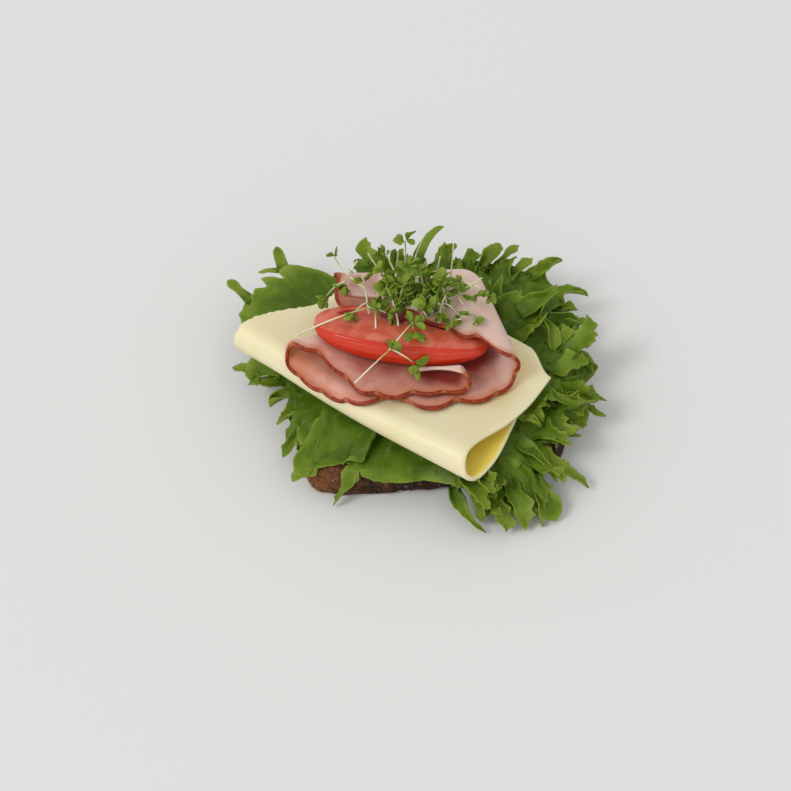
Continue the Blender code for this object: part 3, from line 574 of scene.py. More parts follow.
# Each leaf fans out from LEAF_ROOT over a sector of angles, in degrees. start and crest are (reach, height)
# in millimetres, and edge is (angle, reach, height) round its outer edge. lobes are (angle, half width in
# degrees, length, bluntness, rise, lean in degrees); a negative length is a notch. turns and swing say how it
# ruffles, calm from which share of its reach, and lift how far the ruffles stand above its own curve at the
# edge. frill is how much of the finer ruffles it has, toothed how jagged it is, curl how its edge curls, and
# blister how much its blade is puckered. spacing is how far apart, in millimetres, chance fingers grow on it.
CURLY = dict(calm=0.25, frill=0.8, toothed=1.0, curl=60, blister=1.5, spacing=30.0)
LEAVES = {
    "lettuce_back": dict(
        sector=(76, 121), start=(26, 15.3), crest=(42, 17),
        edge=((76, 52, 19), (84, 49.5, 19.5), (92, 50, 19), (100, 52, 18.5), (108, 52, 18), (121, 51, 16.5)),
        lobes=((106.8, 0.9, 3.0, 1.3, 3, 3), (97, 1.2, 2.5, 1.5, 1, 0), (85.5, 1.0, -3, 2, 0, 0)),
        turns=1.8, swing=40, phase=1.2, calm=0.3, lift=0.6, frill=0.9, toothed=1.0, curl=40, blister=1.3),
    "lettuce_back_left": dict(
        sector=(121, 172), start=(26, 15.3), crest=(48, 16),
        edge=((121, 42.5, 17), (126, 50, 17), (131, 58, 17), (136, 65, 17), (141, 67.5, 16.5),
              (147, 66.5, 16), (152, 70.5, 15.5), (157, 69, 14), (165, 63, 13), (172, 57, 12)),
        lobes=((140.6, 0.6, -5, 2, 0, 0), (143.2, 0.8, 3, 1.5, 0, 1), (147.5, 1.6, 2.5, 3, 0, 0),
               (156, 1.0, 1.5, 2, 0, 0)),
        turns=1.5, swing=18, phase=0.4, calm=0.4, lift=0.3, frill=0.06, toothed=0.05, curl=8, blister=0.45),
    "lettuce_left": dict(
        sector=(174, 228), start=(26, 15.3), crest=(43, 18.5),
        edge=((174, 56, 16), (178, 58, 13), (182, 54, 10), (186, 48, 10), (192, 48, 9), (198, 46, 9),
              (204, 45, 9), (211, 50, 7), (217, 50, 8), (223, 49, 9), (228, 48, 10)),
        lobes=((187.5, 1.0, -4, 2, 0, 0), (196, 1.0, -3, 2, 0, 0), (205, 1.6, -4, 2, 0, 0)),
        turns=2.6, swing=60, phase=0.6, calm=0.25, lift=0.3, frill=0.9, toothed=1.0, curl=60, blister=1.5),
    "lettuce_front": dict(
        sector=(236, 287), start=(22, 15.3), crest=(38, 17.5),
        edge=((236, 45.5, 11.5), (243, 45, 11), (249, 45, 10), (255, 44.6, 10), (262, 44.2, 10.2),
              (272, 43.8, 11), (280, 46.5, 12), (287, 50, 12.5)),
        lobes=((243.5, 0.8, 2.5, 1.5, -1, 1),),
        turns=1.2, swing=15, phase=0.8, calm=0.4, lift=0.6, frill=0.12, toothed=0.1, curl=4, blister=0.4),
    "lettuce_front_right": dict(
        CURLY, sector=(284, 318), start=(24, 15.3), crest=(44, 18),
        edge=((284, 48, 9), (287, 51, 8), (290, 55, 6), (294, 57, 6), (298, 61, 4.5), (303, 64, 3.5),
              (308, 65, 3.5), (313, 62, 4.5), (318, 58, 6)),
        lobes=((292, 1.2, -4.0, 2, 0, 0), (298.5, 1.0, -3, 2, 0, 0), (306, 1.0, -3, 2, 0, 0)),
        turns=1.9, swing=55, phase=0.3, lift=0.15),
    "lettuce_right_front": dict(
        CURLY, sector=(322, 356), start=(26, 15.3), crest=(44, 17.5),
        edge=((322, 49.5, 9), (330, 50.5, 8), (338, 53.5, 6), (342, 54.5, 6.5), (345, 55.5, 8),
              (349, 56.5, 10.5), (352, 52.5, 13), (356, 46.5, 15)),
        lobes=((352, 1.0, -3, 2, 0, 0), (341, 1.0, -3, 2, 0, 0), (334, 1.2, -2, 2, 0, 0)),
        turns=1.6, swing=52, phase=2.2, lift=0.2, curl=55),
    "lettuce_right": dict(
        CURLY, sector=(358, 384), start=(26, 15.3), crest=(44, 18),
        edge=((358, 53.5, 9), (363, 56.5, 10), (368, 57.5, 11), (372, 55.5, 12), (376, 51.5, 13),
              (380, 50.5, 14), (384, 49.5, 14)),
        lobes=((369, 1.2, -3, 2, 0, 0), (361, 1.0, -3, 2, 0, 0)),
        turns=1.5, swing=58, phase=0.9, lift=0.3),
    "lettuce_back_right": dict(
        sector=(20, 75), start=(28, 15.3), crest=(46, 16.5),
        edge=((20, 59.5, 11), (27, 57.5, 13), (34, 63.5, 15.5), (40, 64.5, 18), (47, 57.5, 18),
              (54, 57.5, 19), (60, 53.5, 20), (66, 49.5, 19), (75, 49.5, 19)),
        lobes=((53, 1.2, -4, 2, 0, 0), (46, 0.9, -3.5, 2, 0, 0), (37.5, 1.0, -3, 2, 0, 0),
               (27.5, 0.8, -3, 2, 0, 0), (64.6, 1.0, -4, 2, 0, 0)),
        turns=2.8, swing=58, phase=0.0, calm=0.3, lift=0.3, frill=0.8, toothed=1.0, curl=60, blister=1.5),
    "lettuce_right_upper": dict(
        sector=(11, 47), start=(24, 17), crest=(35, 18),
        edge=((11, 38, 20), (15, 42, 22), (22, 46, 24), (27.5, 51, 27), (32, 46.5, 28), (38, 42, 28),
              (42, 39.5, 28), (47, 39, 29)),
        lobes=((27.8, 1.5, 4.5, 1.2, 1, 0), (45, 1.2, 3.5, 1.5, 4, 0), (40.3, 1.0, -2, 2, 0, 0),
               (35.5, 1.0, 2, 1.5, 1, 0), (20, 1.0, 2, 1.5, 1, 0)),
        turns=1.2, swing=28, phase=2.4, calm=0.3, lift=0.3, frill=0.5, toothed=0.7, curl=24, blister=1.2),
    "lettuce_front_upper": dict(
        sector=(304, 352), start=(26, 17), crest=(42, 19),
        edge=((304, 47.5, 12), (310, 50.5, 10), (316, 52.5, 9), (320, 50.5, 12), (325, 53.5, 9),
              (330, 45.5, 15.5), (336, 43.5, 17.5), (340, 45.5, 17), (344, 49.5, 16), (352, 42.5, 17)),
        lobes=((320.5, 1.2, -3.5, 2, 0, 0), (333, 1.3, 2.5, 2, 1, 0), (338.5, 1.2, -3, 2, 0, 0)),
        turns=1.7, swing=40, phase=2.8, calm=0.35, lift=0.5, frill=0.7, toothed=0.9, curl=44, blister=1.3),
    "lettuce_front_left": dict(
        sector=(214, 244), start=(20, 17), crest=(38, 21.5),
        edge=((214, 41, 17.5), (218, 46, 16.5), (221, 51, 14.5), (224, 58.5, 11), (226, 58, 10.5),
              (229, 54.5, 11.5), (234, 50, 12), (239, 46, 14), (244, 42, 16.5)),
        lobes=((236, 1.2, -2, 2, 0, 0),),
        turns=1.1, swing=26, phase=2.0, calm=0.35, lift=0.5, frill=0.18, toothed=0.2, curl=16, blister=0.9),
}


def bend(start, crest, tip_reach, tip_height, share):
    """A quadratic curve from start by crest to the tip, as its slope along reach and along height."""
    slopes = []
    for first, middle, last in ((start[0], crest[0], tip_reach), (start[1], crest[1], tip_height)):
        slopes.append(2 * (middle - first) * (1 - share) + 2 * (last - middle) * share)
    return slopes


def ruffled(leaf, columns, shares, seed):
    """Run and rise of each row: the solid's swings, and smaller and smaller ones towards the edge."""
    fine = 8
    rng = np.random.default_rng(seed)
    t = (np.arange(columns * fine) + 0.5) / (columns * fine)
    phase, turns = leaf["phase"], leaf["turns"]
    uneven = 1.0 + 0.22 * np.sin(TAU * 1.3 * t + 2.1 * phase)
    place = np.stack(np.broadcast_arrays(t[None] * turns / 2.2, shares[:, None]), axis=-1)
    wander = 0.11 / turns * Waves(seed + 70, 1.0, 2).at(place) * (1.0 - shares[:, None])
    large = uneven * np.sin(TAU * turns * (t + 0.035 * np.sin(7.0 * t + phase) + 3.0 * wander) + phase)
    heading = (math.radians(leaf["swing"]) * smoothstep(leaf["calm"], 1.0, shares))[:, None] * large
    for level, (often, swing, calm) in enumerate(((2.7, 84.0, 0.58), (6.3, 70.0, 0.76))):
        uneven = 0.65 + 0.5 * Waves(seed * 7 + level, 0.3, 1).at(t[:, None])
        drift = 0.35 * Waves(seed * 9 + level, 0.25, 1).at(t[:, None])
        small = uneven * np.sin(TAU * turns * often * t + rng.uniform(0, TAU) + drift * often)
        frilled = math.radians(swing * leaf["frill"]) * smoothstep(calm, 1.0, shares)
        heading = heading + frilled[:, None] * small
    limit = math.radians(125)
    heading = limit * np.tanh(heading / limit)
    zero = np.zeros((len(shares), 1))
    run = np.concatenate((zero, np.cumsum(np.cos(heading), axis=1)), axis=1)[:, ::fine]
    rise = np.concatenate((zero, np.cumsum(np.sin(heading), axis=1)), axis=1)[:, ::fine]
    rise = rise - rise[:, :1] - (rise[:, -1:] - rise[:, :1]) * np.linspace(0.0, 1.0, columns + 1)
    return run / run[:, -1:], (rise - rise.mean(axis=1, keepdims=True)) / run[:, -1:]


def small_teeth(t, length, much, seed):
    """Chance teeth along an edge of some length in millimetres: how far each place sticks out, and leans."""
    rng = np.random.default_rng(seed)
    tooth, aside = np.zeros(len(t)), np.zeros(len(t))
    for spacing, depth in ((11.0, 7.0), (5.0, 3.6), (2.3, 1.2)):
        place = rng.uniform(0.2, 0.8) * spacing / length
        while place < 1.0:
            half = spacing / length * rng.uniform(0.30, 0.55)
            lean = rng.uniform(-0.6, 0.6)
            away = (t - place) / half
            away = np.where(away > 0, away / (1.0 + lean), -away / (1.0 - lean))
            tall = depth * rng.uniform(0.3, 1.0) * much
            shape = np.clip(1.0 - away, 0.0, 1.0) ** 1.3
            tooth = np.maximum(tooth, tooth * 0.6 + tall * shape)
            aside = aside + lean * tall * shape
            place += spacing / length * rng.uniform(0.7, 1.35)
    return tooth, aside


def warped(places, shares, seed, much):
    """Shifts places, in millimetres, a little every way and more towards the edge, so no fold is straight."""
    amount = much * smoothstep(0.35, 0.9, shares)
    shift = np.zeros_like(places)
    for axis in range(3):
        broad, fine = Waves(seed + axis, 9.0), Waves(seed + 5 + axis, 4.0)
        shift[..., axis] = 1.5 * broad.at(places) + 0.55 * fine.at(places)
    return places + shift * amount[:, None, None]


def leaf_points(leaf, seed):
    """A leaf's middle surface as a grid, with how near the edge and how close to a vein each point is."""
    first, last = (math.radians(angle) for angle in leaf["sector"])
    fan = last - first
    shares = 1.0 - (1.0 - np.linspace(0.0, 1.0, LEAF_ROWS + 1)) ** 1.25
    angles, reaches, heights = np.array(leaf["edge"], dtype=float).T
    trial = ruffled(leaf, 200, np.array((1.0,)), seed)
    winding = np.hypot(np.diff(trial[0][0]), np.diff(trial[1][0])).sum()
    length = winding * fan * reaches.mean()
    columns = int(length * MM / LEAF_STEP)
    t = np.linspace(0.0, 1.0, columns + 1)
    run, rise = ruffled(leaf, columns, shares, seed)
    rim_angle = np.degrees(first + fan * run[-1])
    reach = through(list(zip(angles, reaches)), rim_angle)
    height = through(list(zip(angles, heights)), rim_angle)
    tooth, aside = small_teeth(t, length, leaf["toothed"], seed + 50)
    tooth = tooth - 2.0 * leaf["toothed"]
    aside = 0.6 * aside / reach
    for place, half, tall, blunt, up, lean in leaf["lobes"]:
        shape = np.exp(-np.abs((rim_angle - place) / half) ** blunt)
        tooth = tooth * (1.0 - 0.3 * shape) + tall * shape
        height = height + up * shape
        aside = aside + math.radians(lean) * shape
    across, upward = bend(leaf["start"], leaf["crest"], reach[None], height[None], shares[:, None])
    heading = np.arctan2(upward, across)
    speed = np.hypot(across, upward) + 5.0 * tooth[None] * shares[:, None] ** 4
    curl = math.radians(leaf["curl"]) * 2.0 * Waves(seed + 9, 11.0 / length, 1).at(t[:, None])
    heading = heading + curl[None] * smoothstep(0.70, 1.02, shares)[:, None]
    step = np.diff(shares)[:, None]
    middle = (heading[1:] + heading[:-1]) / 2
    pace = (speed[1:] + speed[:-1]) / 2 * step
    zero = np.zeros((1, columns + 1))
    out = leaf["start"][0] + np.concatenate((zero, np.cumsum(pace * np.cos(middle), axis=0)))
    high = leaf["start"][1] + np.concatenate((zero, np.cumsum(pace * np.sin(middle), axis=0)))
    proud = rise * fan * reaches.mean() * (0.35 + 0.65 * shares[:, None])
    lift = 1.0 + (leaf["lift"] - 1.0) * smoothstep(0.6, 1.0, shares)
    proud = proud - lift[:, None] * proud.min(axis=1, keepdims=True)
    flat = np.stack((first * 45 + fan * run * 45.0, out), axis=-1)
    blister = 1.0 - np.abs(Waves(seed + 3, 13.0, 2).at(flat)) - 0.4 * np.abs(Waves(seed + 4, 6.0, 2).at(flat))
    proud = proud + leaf["blister"] * blister * smoothstep(0.15, 0.5, shares)[:, None]
    angle = first + fan * run + aside[None] * shares[:, None] ** 5
    away = out - np.sin(heading) * proud
    points = np.stack((away * np.cos(angle), away * np.sin(angle), high + np.cos(heading) * proud), axis=-1)
    points = warped(points, shares, seed + 90, leaf["blister"] / 1.5) * MM + np.array((*LEAF_ROOT, 0.0))
    ribs = np.abs(((t * length / 7) + 0.35 * np.sin(9 * t)) % 1.0 - 0.5) * 2.0
    vein = smoothstep(0.80, 1.0, ribs)[None] * smoothstep(1.0, 0.3, shares)[:, None]
    return keep_clear(points), np.broadcast_to(shares[:, None], run.shape), np.broadcast_to(vein, run.shape)


def keep_clear(points):
    """Holds a leaf above the bread and the table and presses it down under the cheese."""
    x, y, z = points[..., 0], points[..., 1], points[..., 2]
    along, depth = cheese_frame(x, y)
    outside = np.maximum.reduce((along - 97 * MM, 4 * MM - along, 2 * MM - depth, depth - 55 * MM))
    roof = CHEESE_BOTTOM - 0.6 * MM + 1.3 * np.maximum(outside, 0.0)
    z = np.minimum(z, roof)
    across, ahead = x - BREAD_MIDDLE[0], y - BREAD_MIDDLE[1]
    inside = outline_reach(np.arctan2(ahead, across) - BREAD_TURN) - np.hypot(across, ahead)
    z = np.where(inside > 0.0, np.maximum(z, BREAD_HEIGHT + 0.35 * MM), z)
    z = np.maximum(z, 0.6 * MM)
    return np.stack((x, y, z), axis=-1)


# The fingers with a place of their own on each leaf: root and tip as (angle in degrees about LEAF_ROOT,
# reach, height), how far it arches (clockwise from above, outward, up), its half width, how round its end is from
# 0 to 1, how far its sides fold up in degrees, and how jagged it is. Lengths are in millimetres.
FINGERS = {
    "lettuce_back_left": (
        ((151.8, 68.5, 15.2), (150.2, 79.4, 18.5), (0, 1, 1), 2.4, 0.6, 12, 0.1),
        ((137.3, 66.5, 17.0), (133.6, 75.2, 20.0), (0, 0, 0), 2.7, 0.45, 12, 0.1),
        ((137, 67, 17.0), (142.6, 73.4, 17.0), (0, 1, 0), 1.0, 0.0, 0, 0.2),
    ),
    "lettuce_back": (
        ((112.5, 47, 17.5), (109.6, 57.0, 26.0), (-1, 0, 1), 1.9, 0.2, 30, 1.1),
        ((90.5, 46.5, 18.5), (80.6, 54.8, 31.0), (-4, 1, 2), 2.5, 0.5, 30, 0.2),
        ((80, 46, 18.0), (75.5, 55.0, 22.5), (0, 1, 1), 2.4, 0.3, 35, 0.8),
        ((71, 46, 17.5), (67.0, 55.4, 20.5), (0, 1, 1), 2.6, 0.3, 30, 0.8),
    ),
    "lettuce_back_right": (
        ((63, 49, 17.5), (60.2, 59.5, 24.5), (0, -1, 1), 3.6, 0.5, 40, 0.8),
        ((58, 52, 19.0), (54.6, 62.6, 24.5), (0, 0, 2), 1.8, 0.2, 40, 0.4),
        ((51, 53, 17.5), (48.6, 62.2, 22.5), (0, -1, 1), 2.0, 0.2, 40, 0.4),
        ((46, 55, 17.0), (41.0, 68.4, 23.0), (0, 2, 3), 3.6, 0.4, 50, 0.3),
        ((39, 55, 15.5), (29.6, 70.0, 15.5), (0, 4, 2), 3.0, 0.2, 45, 0.3),
        ((31, 52, 14.0), (27.6, 64.3, 13.5), (0, 1, 2), 2.8, 0.3, 40, 0.8),
        ((27, 50, 13.5), (22.3, 65.2, 10.5), (0, 2, 3), 3.0, 0.2, 50, 0.6),
    ),
    "lettuce_right_upper": (
        ((22, 45, 24.0), (8.0, 47.4, 18.0), (0, 4, 1), 2.4, 0.5, 60, 0.5),
        ((28, 40, 24.0), (28.0, 55.5, 28.5), (0, 0, 2), 3.6, 0.0, 20, 0.3),
        ((42, 34, 23.0), (45.2, 41.5, 32.5), (0, 0, 0), 2.4, 0.0, 20, 0.3),
    ),
    "lettuce_right": (
        ((20, 46, 14.0), (19.0, 56.2, 17.5), (0, 1, 0), 2.8, 0.1, 40, 0.8),
        ((17, 47, 14.0), (12.2, 61.2, 12.5), (0, 2, 2), 3.2, 0.3, 50, 0.8),
        ((11, 48, 13.0), (3.0, 61.6, 9.5), (0, 3, 3), 3.2, 0.3, 50, 0.8),
        ((5, 46, 12.5), (359.5, 58.2, 8.0), (0, 1, 2), 2.8, 0.2, 45, 0.8),
    ),
    "lettuce_right_front": (
        ((353, 44, 15.0), (350.8, 65.6, 12.0), (0, 0, 2), 3.0, 0.1, 40, 0.4),
        ((347, 44, 12.0), (346.6, 66.2, 9.5), (0, 0, 3), 2.6, 0.1, 40, 0.6),
        ((342, 44, 11.5), (343.0, 60.6, 7.5), (0, 0, 2), 2.8, 0.2, 45, 0.8),
        ((336, 44, 11.5), (340.2, 57.6, 4.5), (0, 1, 2), 2.6, 0.2, 45, 0.8),
    ),
    "lettuce_front_upper": (
        ((346, 34, 18.5), (342.6, 59.0, 16.0), (0, 0, 2), 3.4, 0.0, 55, 0.3),
        ((326, 34, 18.0), (326.2, 49.2, 19.0), (0, 0, 3), 2.6, 0.8, 80, 0.1),
        ((317, 42, 15.0), (324.3, 70.4, 3.0), (0, 5, 4), 3.4, 0.1, 35, 0.5),
        ((318, 42, 15.5), (317.4, 62.6, 8.5), (0, 0, 4), 3.2, 0.2, 45, 0.6),
    ),
    "lettuce_front_right": (
        ((312.5, 52, 9.0), (310.2, 70.3, 2.2), (0, 2, 4), 4.6, 0.8, 25, 0.5),
        ((304, 52, 9.0), (301.6, 67.6, 2.2), (0, 1, 4), 3.2, 0.3, 35, 1.2),
        ((297, 50, 9.0), (296.0, 65.6, 3.0), (0, 0, 4), 2.8, 0.3, 40, 1.2),
        ((283.6, 47, 10.0), (290.4, 62.6, 2.0), (4, 3, 2), 2.3, 0.0, 35, 0.4),
    ),
    "lettuce_left": (
        ((180, 50, 13.5), (177.2, 65.6, 13.0), (0, 0, 2), 3.0, 0.2, 35, 0.6),
        ((184, 47, 12.5), (181.4, 60.0, 9.5), (0, 0, 2), 2.8, 0.2, 45, 0.8),
        ((191, 43, 13.0), (191.8, 53.2, 9.0), (0, 0, 3), 3.0, 0.3, 60, 0.8),
        ((200, 42, 12.5), (200.2, 52.6, 8.5), (0, 0, 2), 2.4, 0.1, 45, 0.6),
        ((208, 42, 11.5), (212.4, 55.8, 5.5), (0, 0, 2), 2.6, 0.4, 45, 0.6),
        ((217, 42, 13.0), (216.0, 51.6, 8.0), (0, 0, 2), 2.2, 0.2, 45, 0.8),
    ),
    "lettuce_front_left": (
        ((226, 52, 13.0), (224.8, 61.0, 9.8), (0, 1, 1), 3.0, 0.3, 12, 0.1),
    ),
    "lettuce_front": (
        ((244, 41, 12.5), (238.0, 55.6, 1.6), (0, 2, 2), 2.2, 0.0, 30, 0.5),
    ),
}
# Half width along a finger, from root to tip, as shares of the widest: one is pointed and one is round.
FINGER_ENDS = (((0.0, 1.0), (0.3, 0.85), (0.6, 0.55), (0.85, 0.28), (1.0, 0.05)),
               ((0.0, 1.0), (0.3, 0.62), (0.5, 0.7), (0.72, 1.0), (0.88, 0.84), (0.96, 0.5), (1.0, 0.08)))


def finger(root, tip, arch, up, half_width, roundness, fold, jagged, seed):
    """A finger of leaf from root to tip in metres, as one part of a leaf's piece."""
    u = (1.0 - (1.0 - np.linspace(0.0, 1.0, 26)) ** 1.4)[:, None]
    v = np.linspace(-1.0, 1.0, 15)[None]
    line = root * (1 - u) ** 2 + 2 * ((root + tip) / 2 + arch) * u * (1 - u) + tip * u ** 2
    way = unit(np.gradient(line, axis=0))
    side = unit(np.cross(way, up))
    above = np.cross(side, way)
    length = np.linalg.norm(tip - root) / MM
    pointed, oval = (through(end, u[:, 0]) for end in FINGER_ENDS)
    half = half_width * ((1.0 - roundness) * pointed + roundness * oval)
    places = np.zeros(line.shape[:1] + (15, 3))
    for sign in (-1.0, 1.0):
        tooth, _ = small_teeth(u[:, 0], length, 0.55 * jagged, seed + int(sign))
        wide = half + tooth * smoothstep(0.0, 0.25, u[:, 0]) * smoothstep(1.0, 0.8, u[:, 0])
        lean = 0.5 * (wide - half)
        part = np.clip(sign * v, 0.0, 1.0)
        folded = math.radians(fold) * (1.0 + 0.5 * np.sin(5.0 * u + seed)) * part ** 0.7
        across = wide[:, None] * part * np.cos(folded)
        crinkle = 0.5 * jagged * part ** 2 * np.sin(9.0 * u + 2.0 * seed + sign)
        rise = wide[:, None] * part * np.sin(folded) + crinkle
        places += (sign * across[..., None] * side[:, None] + rise[..., None] * above[:, None]
                   + (lean[:, None] * part)[..., None] * way[:, None]) * MM
    points = keep_clear(places + line[:, None])
    from_rim = np.minimum(half[:, None] * (1.0 - np.abs(v)), (1.0 - u) * length)
    edge = 1.0 - from_rim / 28.0
    edge = np.minimum(edge, 0.70 + 0.30 * smoothstep(0.0, 0.45, u))
    vein = np.exp(-(v / 0.16) ** 2) * (1.0 - u) * np.ones_like(edge)
    corners, faces = sheet_arrays(points, (0.52 - 0.17 * edge ** 2) * MM)
    return corners, faces, {"edge": both_sides(edge), "vein": both_sides(vein)}


def fan_place(angle, reach, height):
    """The place, in metres, at an angle and a reach in millimetres from LEAF_ROOT."""
    turn = math.radians(angle)
    place = np.array((reach * math.cos(turn), reach * math.sin(turn), height)) * MM
    return place + np.array((*LEAF_ROOT, 0.0))


def placed_fingers(name, seed):
    """The fingers of one leaf. They are numbered through all the leaves, and the numbers go into the seeds."""
    first = sum(len(FINGERS[leaf]) for leaf in list(FINGERS)[:list(FINGERS).index(name)])
    upright = np.array((0.0, 0.0, 1.0))
    parts = []
    for number, finger_row in enumerate(FINGERS[name], first):
        root, tip, (aside, out, up), half, roundness, fold, jagged = finger_row
        root, tip = fan_place(*root), fan_place(*tip)
        away = unit((root + tip) / 2 * np.array((1.0, 1.0, 0.0)))
        arch = (away * out + np.array((away[1] * aside, -away[0] * aside, up))) * MM
        parts.append(finger(root, tip, arch, upright, half, roundness, fold, jagged, seed + number))
    return parts


def chance_fingers(points, leaf, seed):
    """Fingers growing at chance from a curly leaf, near its edge, above and below its blade."""
    rng = np.random.default_rng(seed)
    rim = points[-1]
    walked = np.concatenate(([0.0], np.cumsum(np.linalg.norm(np.diff(rim, axis=0), axis=1)))) / MM
    parts, place = [], rng.uniform(2.0, 5.0)
    while place < walked[-1] - 2.0:
        column = min(int(np.searchsorted(walked, place)), points.shape[1] - 3)
        column = max(column, 2)
        row = int(rng.uniform(0.40, 0.66) * LEAF_ROWS)
        root = points[row, column]
        out = unit(points[row + 3, column] - points[row - 3, column])
        beside = unit(points[row, column + 2] - points[row, column - 2])
        up = unit(np.cross(beside, out))
        up = up * (1.0 if up[2] > 0 else -1.0)
        turn, tilt = rng.normal() * 0.4, rng.uniform(0.05, 0.55)
        way = unit(out + beside * turn + up * tilt)
        length = rng.uniform(10.0, 17.0)
        root = root - up * 0.9 * MM
        arch = (up * rng.uniform(0.5, 3.5) + beside * rng.normal() * 1.5) * MM
        half, roundness, fold = rng.uniform(2.8, 4.4), rng.uniform(0.0, 0.25), rng.uniform(10, 50)
        parts.append(finger(root, root + way * length * MM, arch, up, half, roundness, fold,
                            1.5 * leaf["toothed"], int(rng.integers(10000))))
        place += leaf["spacing"] * rng.uniform(0.6, 1.4)
    return parts


def lettuce():
    finish = lettuce_leaf()
    for number, (name, leaf) in enumerate(LEAVES.items()):
        points, edge, vein = leaf_points(leaf, 20 + number)
        thickness = (0.62 - 0.27 * edge ** 2) * MM
        corners, faces = sheet_arrays(points, thickness)
        parts = [(corners, faces, {"edge": both_sides(edge), "vein": both_sides(vein)})]
        parts += placed_fingers(name, 300 + number)
        if "spacing" in leaf:
            parts += chance_fingers(points, leaf, 500 + number)
        add_piece(name.replace("lettuce", "leaf"), parts, finish, name)


# ---------------------------------------------------------------- ham

HAM_THICKNESS = 1.2 * MM
HAM_LIFT = 1.0 * MM
SCALLOP_DEPTH = 1.7 * MM
SCALLOP_SPAN = 11.0

# Each slice runs from origin along run_heading, bending by its (length, degrees) segments. front and back are
# (run, distance across) along its two long edges, and cusps are the runs where two scallops meet. Past the
# run bare, the front edge is plain, without scallops or rind. skew is (start, end, much): between those runs
# the slice comes to lie aslant, running on by much of the distance from its front edge. up_side is the side
# of the sheet that faces up where the run starts. shades are patches of painted shade, painted light and an
# orange-brown tint: (kind, the face it is on where the run starts, (middle, half) of the run, (middle, half)
# from the front edge, strength).
HAM = {
    "ham_left": dict(
        origin=(-9.5, 0), run_heading=180, edge_heading=90,
        segments=((33, 0), (8.6, 185.5), (31, 0), (4, -5.5), (21.5, 0), (9.6, -190), (16, 0)),
        front=((0, -28.6), (3.5, -30.0), (9, -30.9), (15.3, -29.8), (23.7, -25.8), (31.7, -19.4), (35, -15.8),
               (38, -13.8), (41, -12.4), (45, -13.2), (49.5, -14.4), (53.5, -18.8), (59, -24.2),
               (62.5, -28.2), (69.5, -30.0), (74.5, -30.2), (81.4, -28.4), (91.9, -27.6), (98.1, -26.2),
               (102.5, -25.0), (107, -23.0),
               (111, -21.2), (117, -20.2), (123.7, -20.8)),
        back=((0, -1), (26.5, -6), (33, -7.5), (36, -9.5), (39, -10.6), (42.5, -10), (47, -7.2),
              (52.5, -3.6), (64.5, -2), (76, -4), (86.5, -10), (95.5, -15), (101, -17.6), (105.5, -18.9),
              (112, -19.2), (117, -18.9),
              (123.7, -18.8)),
        cusps=(3.5, 15.3, 23.7, 31.7, 40.5, 49.5, 59, 69, 81.4, 91.9, 100.5, 124),
        up_side=1, bare=108, skew=(70, 98, 0.4),
        shades=(("edge_tint_and_bend_shade", "up", (34, 10), (0, 99), 1.0), ("deep", "down", (97, 15), (18, 15.5), 1.5),
                ("deep", "down", (70, 24), (23, 14.5), 0.75))),
    "ham_right": dict(
        origin=(-6.4, -33.1), run_heading=18, edge_heading=108,
        segments=((35.5, 0), (22.0, 178), (20, 0)),
        front=((0, 4.0), (1.5, 2.2), (3, 0.6), (6, -1.6), (11, -2.4), (18.6, -2.2), (25, -2.8), (32, -2.4),
               (38.3, 0.6), (43, 2.6), (48, 3.4), (52.3, 2.6), (57.5, 6.5), (61, 12.5), (66.8, 15.8),
               (68.5, 17.8), (72.2, 21.2), (77.5, 26.5)),
        back=((0, 9), (15, 17), (31, 32), (48, 40), (58, 44), (66, 45.5), (77.5, 44)),
        cusps=(3, 18.6, 33, 43, 53, 62, 71, 80),
        up_side=0, bare=200, skew=(0, 1, 0),
        shades=(("deep", "up", (15, 9), (30, 25), 1.0), ("deep", "up", (31, 9), (30, 18.5), 1.5),
                ("painted_light", "down", (64, 30), (0, 99), 2.0), ("painted_light", "up", (42, 10), (0, 99), 0.9))),
    "ham_back": dict(
        origin=(-28, 4), run_heading=90, edge_heading=0,
        segments=((10.5, 0), (22.5, 184), (7, 0)),
        front=((0, 3), (12, 0), (29, 0), (40, 2)),
        back=((0, 17), (12, 19), (29, 20), (40, 18)),
        cusps=(0, 10, 20, 30, 40),
        up_side=1, bare=200, skew=(0, 1, 0),
        shades=(("edge_tint_and_bend_shade", "down", (20, 16), (0, 2.2), 1.0), ("painted_light", "down", (30, 14), (0, 99), 2.2),
                ("deep", "down", (34, 5), (6.2, 2.6), 0.55), ("deep", "down", (33, 5), (11.8, 2.6), 0.5))),
}


